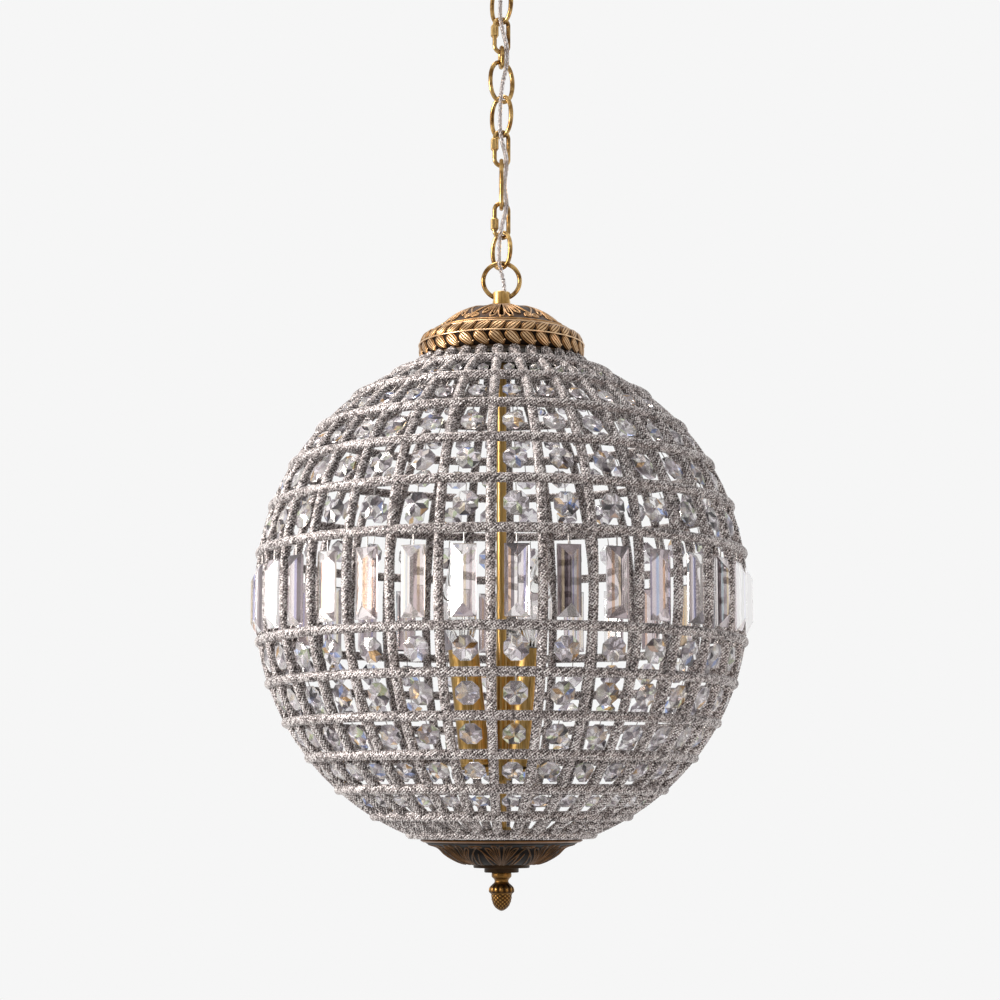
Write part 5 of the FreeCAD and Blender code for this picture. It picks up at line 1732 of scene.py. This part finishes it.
# %% The finial's carving
FINIAL_LOW, FINIAL_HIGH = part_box("finial")
FINIAL_SHARES = (
    (9.6, 0.0), (9.8, 0.05), (9.5, 0.11), (7.4, 0.17), (6.8, 0.22), (7.6, 0.27), (11.2, 0.36),
    (12.5, 0.42), (12.5, 0.5), (10.9, 0.54), (10.3, 0.58), (10.1, 0.66), (9.4, 0.75), (7.9, 0.85),
    (5.4, 0.93), (2.2, 0.985), (0.3, 1.0),
)
FINIAL_STEPS = 5
FLUTED_SHARES = (0.3, 0.53)
FLUTES = 14
FLUTE_DEPTH = 0.9 * MM
SCALED_SHARE = 0.56
SCALES = 13
SCALE_SLANT = 62
SCALE_DEPTH = 0.55 * MM
SCALE_FADE = 6
PLAIN_RUBBED, HOLLOW_RUBBED, FLUTE_RUBBED, SCALE_RUBBED = 0.55, 0.15, 0.75, 0.7

finial_length = FINIAL_HIGH.z - FINIAL_LOW.z
finial_table = [(r * MM, FINIAL_HIGH.z - finial_length * s) for r, s in FINIAL_SHARES]
finial_profile = smooth_between(finial_table, FINIAL_STEPS)


def carved(share, angle):
    """How deep the finial is carved at a share of its length, and how rubbed it is there."""
    first, last = FLUTED_SHARES
    if first < share < last:
        swell = math.sin(math.pi * (share - first) / (last - first))
        groove = 0.5 - 0.5 * math.cos(FLUTES * angle)
        return FLUTE_DEPTH * swell * (1 - groove) ** 2, HOLLOW_RUBBED + FLUTE_RUBBED * groove * swell
    if share > SCALED_SHARE:
        turn, slant = SCALES * angle, SCALE_SLANT * share
        scale = abs(math.sin((turn + slant) / 2) * math.sin((turn - slant) / 2))
        fade = min(1.0, (1 - share) * SCALE_FADE)
        return SCALE_DEPTH * (1 - scale) * fade, HOLLOW_RUBBED + SCALE_RUBBED * scale
    return 0.0, PLAIN_RUBBED


print("finial", round(finial_length / MM, 1), "mm long")

# %% The finial
FINIAL_SIDES = 168
THINNEST = 0.05 * MM

points, values = [], []
for k in range(FINIAL_SIDES):
    angle = FULL_TURN * k / FINIAL_SIDES
    for radius, height in finial_profile:
        depth, rubbed = carved((FINIAL_HIGH.z - height) / finial_length, angle)
        radius = max(radius - depth, THINNEST)
        points.append(polar(radius, angle, height))
        values.append(rubbed)
size = len(finial_profile)
faces = grid_faces(FINIAL_SIDES, size, closed=True, open_columns=True)
faces.append(tuple(k * size for k in range(FINIAL_SIDES)))
faces.append(tuple(k * size + size - 1 for k in range(FINIAL_SIDES))[::-1])
finial = mesh_piece("cast_finial", points, faces, finial_bronze, values={"relief": values})
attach(finial, "finial")
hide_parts("finial")
print("finial faces", len(faces))

# %% [markdown]
# ## Bulbs
# The lamps are unlit clear candle bulbs. A bulb is a thin blown shell, so it has an outer and an
# inner wall 0.7 mm apart, which is what keeps what lies behind it unbent. Inside are the glass
# stem, two lead wires and a zigzag filament. The glass is faintly wavy from the blowing, and the
# wires are dull where they have oxidised.

# %% Bulb materials
BLOWN_WAVE_MM = 18
clear_glass, tree = new_material("blown_soda_glass")
place = add_node(tree, "ShaderNodeTexCoord")
draw = add_node(
    tree, "ShaderNodeTexNoise", {"Scale": 1 / (BLOWN_WAVE_MM * MM), "Detail": 1.0},
    {"Vector": place.outputs["Object"]},
)
ripple = add_node(
    tree, "ShaderNodeBump", {"Strength": 0.06, "Distance": 0.2 * MM}, {"Height": draw.outputs["Fac"]}
)
glass = add_node(
    tree, "ShaderNodeBsdfPrincipled",
    {"Base Color": linear("#fbfbfa"), "Transmission Weight": 1.0, "Roughness": 0.0, "IOR": 1.5},
    {"Normal": ripple.outputs["Normal"]},
)
add_node(tree, "ShaderNodeOutputMaterial", None, {"Surface": glass.outputs[0]})

lead_wire = drawn_wire("nickel_lead_wire", 2, 0.3, ((0.3, "#6b6560"), (0.7, "#b4ada6")))
print("bulb glass", clear_glass.name)

# %% Shell, press and wires on a bulb's own axis
GLASS_LOW = 113 * MM
BULB_LENGTH = 94 * MM
BULB_WALL = 0.7 * MM
BULB_TABLE = (
    (8.0, 0.0), (9.0, 0.04), (13.4, 0.14), (16.2, 0.24), (17.0, 0.34), (16.4, 0.46), (14.6, 0.56),
    (11.3, 0.68), (7.5, 0.8), (3.6, 0.93), (1.4, 0.99), (0.3, 1.0),
)
BULB_STEPS = 4
BULB_SIDES = 64
PRESS_LOW = GLASS_LOW + 1 * MM
PRESS_TOP = GLASS_LOW + 26 * MM
PRESS_RADII = (2.6 * MM, 1.6 * MM)
PRESS_SIDES = 12
LEAD_MM = ((1.0, -6), (4.5, 12), (5.5, 24))
LEAD_RADIUS = 0.3 * MM
LEAD_SIDES = 6
FILAMENT_BENDS = 5
FILAMENT_REACH = 5.5 * MM
FILAMENT_MIDDLE = PRESS_TOP + 24 * MM
FILAMENT_RISES = (-4 * MM, 5 * MM)
FILAMENT_RADIUS = 0.16 * MM
FILAMENT_SIDES = 5

bulb_line = smooth_between([(r * MM, GLASS_LOW + BULB_LENGTH * s) for r, s in BULB_TABLE], BULB_STEPS)
bulb_wall = []
for step, (radius, height) in enumerate(bulb_line):
    drop = BULB_WALL * (0.5 - step / len(bulb_line))
    bulb_wall.append((max(radius - BULB_WALL, THINNEST), height + drop))
shell = pointing_down(turned(bulb_line + bulb_wall[::-1], BULB_SIDES))
press = swept([Vector((0, 0, PRESS_LOW)), Vector((0, 0, PRESS_TOP))], PRESS_RADII, PRESS_SIDES)
wires = []
for side in (-1, 1):
    lead = [Vector((side * x * MM, 0, PRESS_TOP + z * MM)) for x, z in LEAD_MM]
    wires.append(swept(lead, [LEAD_RADIUS] * len(lead), LEAD_SIDES))
zigzag = []
for k in range(2 * FILAMENT_BENDS + 1):
    turn = math.pi * k / (2 * FILAMENT_BENDS)
    zigzag.append(polar(FILAMENT_REACH, turn, FILAMENT_MIDDLE + FILAMENT_RISES[k % 2]))
wires.append(swept(zigzag, [FILAMENT_RADIUS] * len(zigzag), FILAMENT_SIDES))
print("filament", len(zigzag), "bends")

# %% Three bulbs in their places
LAMPS = 3
FIRST_LAMP = math.radians(-162)
LAMP_FOOT = 27 * MM
LAMP_LEAN = math.radians(6.6)
CLUSTER_TOP = -163 * MM


def lamp_place(number):
    """The matrix from a lamp's own axis to its place round the stem."""
    around = Matrix.Rotation(FIRST_LAMP + FULL_TURN / LAMPS * number, 4, "Z")
    foot = Matrix.Translation((LAMP_FOOT, 0, BALL_Z + CLUSTER_TOP))
    return around @ foot @ Matrix.Rotation(LAMP_LEAN, 4, "Y")


def bulb_piece(name, part, number, material):
    """A piece on a lamp's own axis, set in its place and riding on that lamp's bulb."""
    piece = mesh_piece(name, [lamp_place(number) @ point for point in part[0]], part[1], material)
    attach(piece, "bulb_%d" % (number + 1))
    return piece


for number in range(LAMPS):
    glass = bulb_piece("glass_bulb_%d" % (number + 1), shell, number, clear_glass)
    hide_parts("bulb_%d" % (number + 1))
    bulb_piece("glass_press_%d" % (number + 1), press, number, clear_glass)
    bulb_piece("bulb_leads_%d" % (number + 1), joined(wires), number, lead_wire)
print("bulbs", LAMPS)

# %% [markdown]
# ## Finishes for the plain pieces
# Some pieces need no new shape: turned tubes, nuts, plates, the canopy. They keep the mesh of the
# frame and only get their finish. Steel hidden in the canopy is zinc plated, the plates at the ends
# of the ribs are given a near black finish that is painted shade, so that the strip under the laurel
# band reads as a shadow, the terminal block is nylon, the lampholders are phenolic, the bulbs' caps
# are rolled aluminium and the crystals hang on silvered wire.

# %% Zinc, paint and plastics
ROUGHNESS_SPREAD = 0.08


def coated(name, dark, light, metallic, roughness, grain_mm, bump):
    """A plain surface with a fine uneven grain: plating, paint or moulded plastic."""
    material, tree = new_material(name)
    place = add_node(tree, "ShaderNodeTexCoord")
    grain = add_node(
        tree, "ShaderNodeTexNoise", {"Scale": 1 / (grain_mm * MM), "Detail": 4.0},
        {"Vector": place.outputs["Object"]},
    )
    ramp = add_node(tree, "ShaderNodeValToRGB", None, {"Fac": grain.outputs["Fac"]})
    colour = set_stops(ramp, ((0.3, dark), (0.7, light)))
    rough = add_node(
        tree, "ShaderNodeMapRange",
        {"To Min": roughness - ROUGHNESS_SPREAD, "To Max": roughness + ROUGHNESS_SPREAD},
        {"Value": grain.outputs["Fac"]},
    )
    dent = add_node(
        tree, "ShaderNodeBump", {"Strength": bump, "Distance": 0.1 * MM}, {"Height": grain.outputs["Fac"]}
    )
    surface = add_node(
        tree, "ShaderNodeBsdfPrincipled", {"Metallic": metallic},
        {"Base Color": colour, "Roughness": rough.outputs["Result"], "Normal": dent.outputs["Normal"]},
    )
    add_node(tree, "ShaderNodeOutputMaterial", None, {"Surface": surface.outputs[0]})
    return material


# Zinc is pale grey with a fine bloom and nylon milky and matt. The plates' near black finish is
# painted shade, a shadow line under the laurel band, and the phenolic is dark brown, both with a
# soft sheen. Aluminium and silvered wire are bright and plain.
# Each line gives a name, a dark and a light tone, metallic, roughness, grain in mm and bump.
zinc_plate = coated("zinc_plated_steel", "#8f9296", "#c6c8ca", 1.0, 0.38, 3.0, 0.15)
# Painted shade: the plates are made near black so the strip under the laurel band reads as a shadow.
painted_shade_finish = coated("painted_shade_steel", "#1f170f", "#352819", 0.5, 0.45, 1.5, 0.2)
nylon = coated("moulded_nylon", "#dcd8cc", "#ece8de", 0.0, 0.5, 0.8, 0.1)
phenolic = coated("brown_phenolic", "#1d1511", "#32251c", 0.0, 0.35, 0.8, 0.1)
cap_metal = coated("rolled_aluminium_cap", "#a39d92", "#cfcac0", 1.0, 0.32, 1.2, 0.1)
bright_wire = coated("silvered_wire", "#8b8784", "#d9d6d3", 1.0, 0.22, 1.0, 0.1)

print("finishes", zinc_plate.name, painted_shade_finish.name, nylon.name, phenolic.name, cap_metal.name)

# %% Finishes by piece
FINISHES = {
    "ceiling_canopy": collar_brass, "canopy_collar": collar_brass, "stem_collar": collar_brass,
    "crossbar": zinc_plate, "threaded_nipple": zinc_plate, "canopy_locknut": zinc_plate,
    "terminal_block": nylon, "stem_tube": satin_brass, "stem_nuts": satin_brass,
    # The plates' near black finish is painted shade under the band.
    "upper_spider": painted_shade_finish, "lower_spider": painted_shade_finish, "lamp_cluster": satin_brass,
    "prism_pins": bright_wire, "upper_octagon_wires": bright_wire, "lower_octagon_wires": bright_wire,
}
for number in range(1, LAMPS + 1):
    FINISHES["candle_cover_%d" % number] = satin_brass
    FINISHES["lampholder_%d" % number] = phenolic
    FINISHES["bulb_cap_%d" % number] = cap_metal
for node, material in FINISHES.items():
    nodes[node].data.materials.clear()
    nodes[node].data.materials.append(material)
shown = sorted(name for name, piece in nodes.items() if not piece.hide_render)
print("nodes that keep their mesh:", shown)
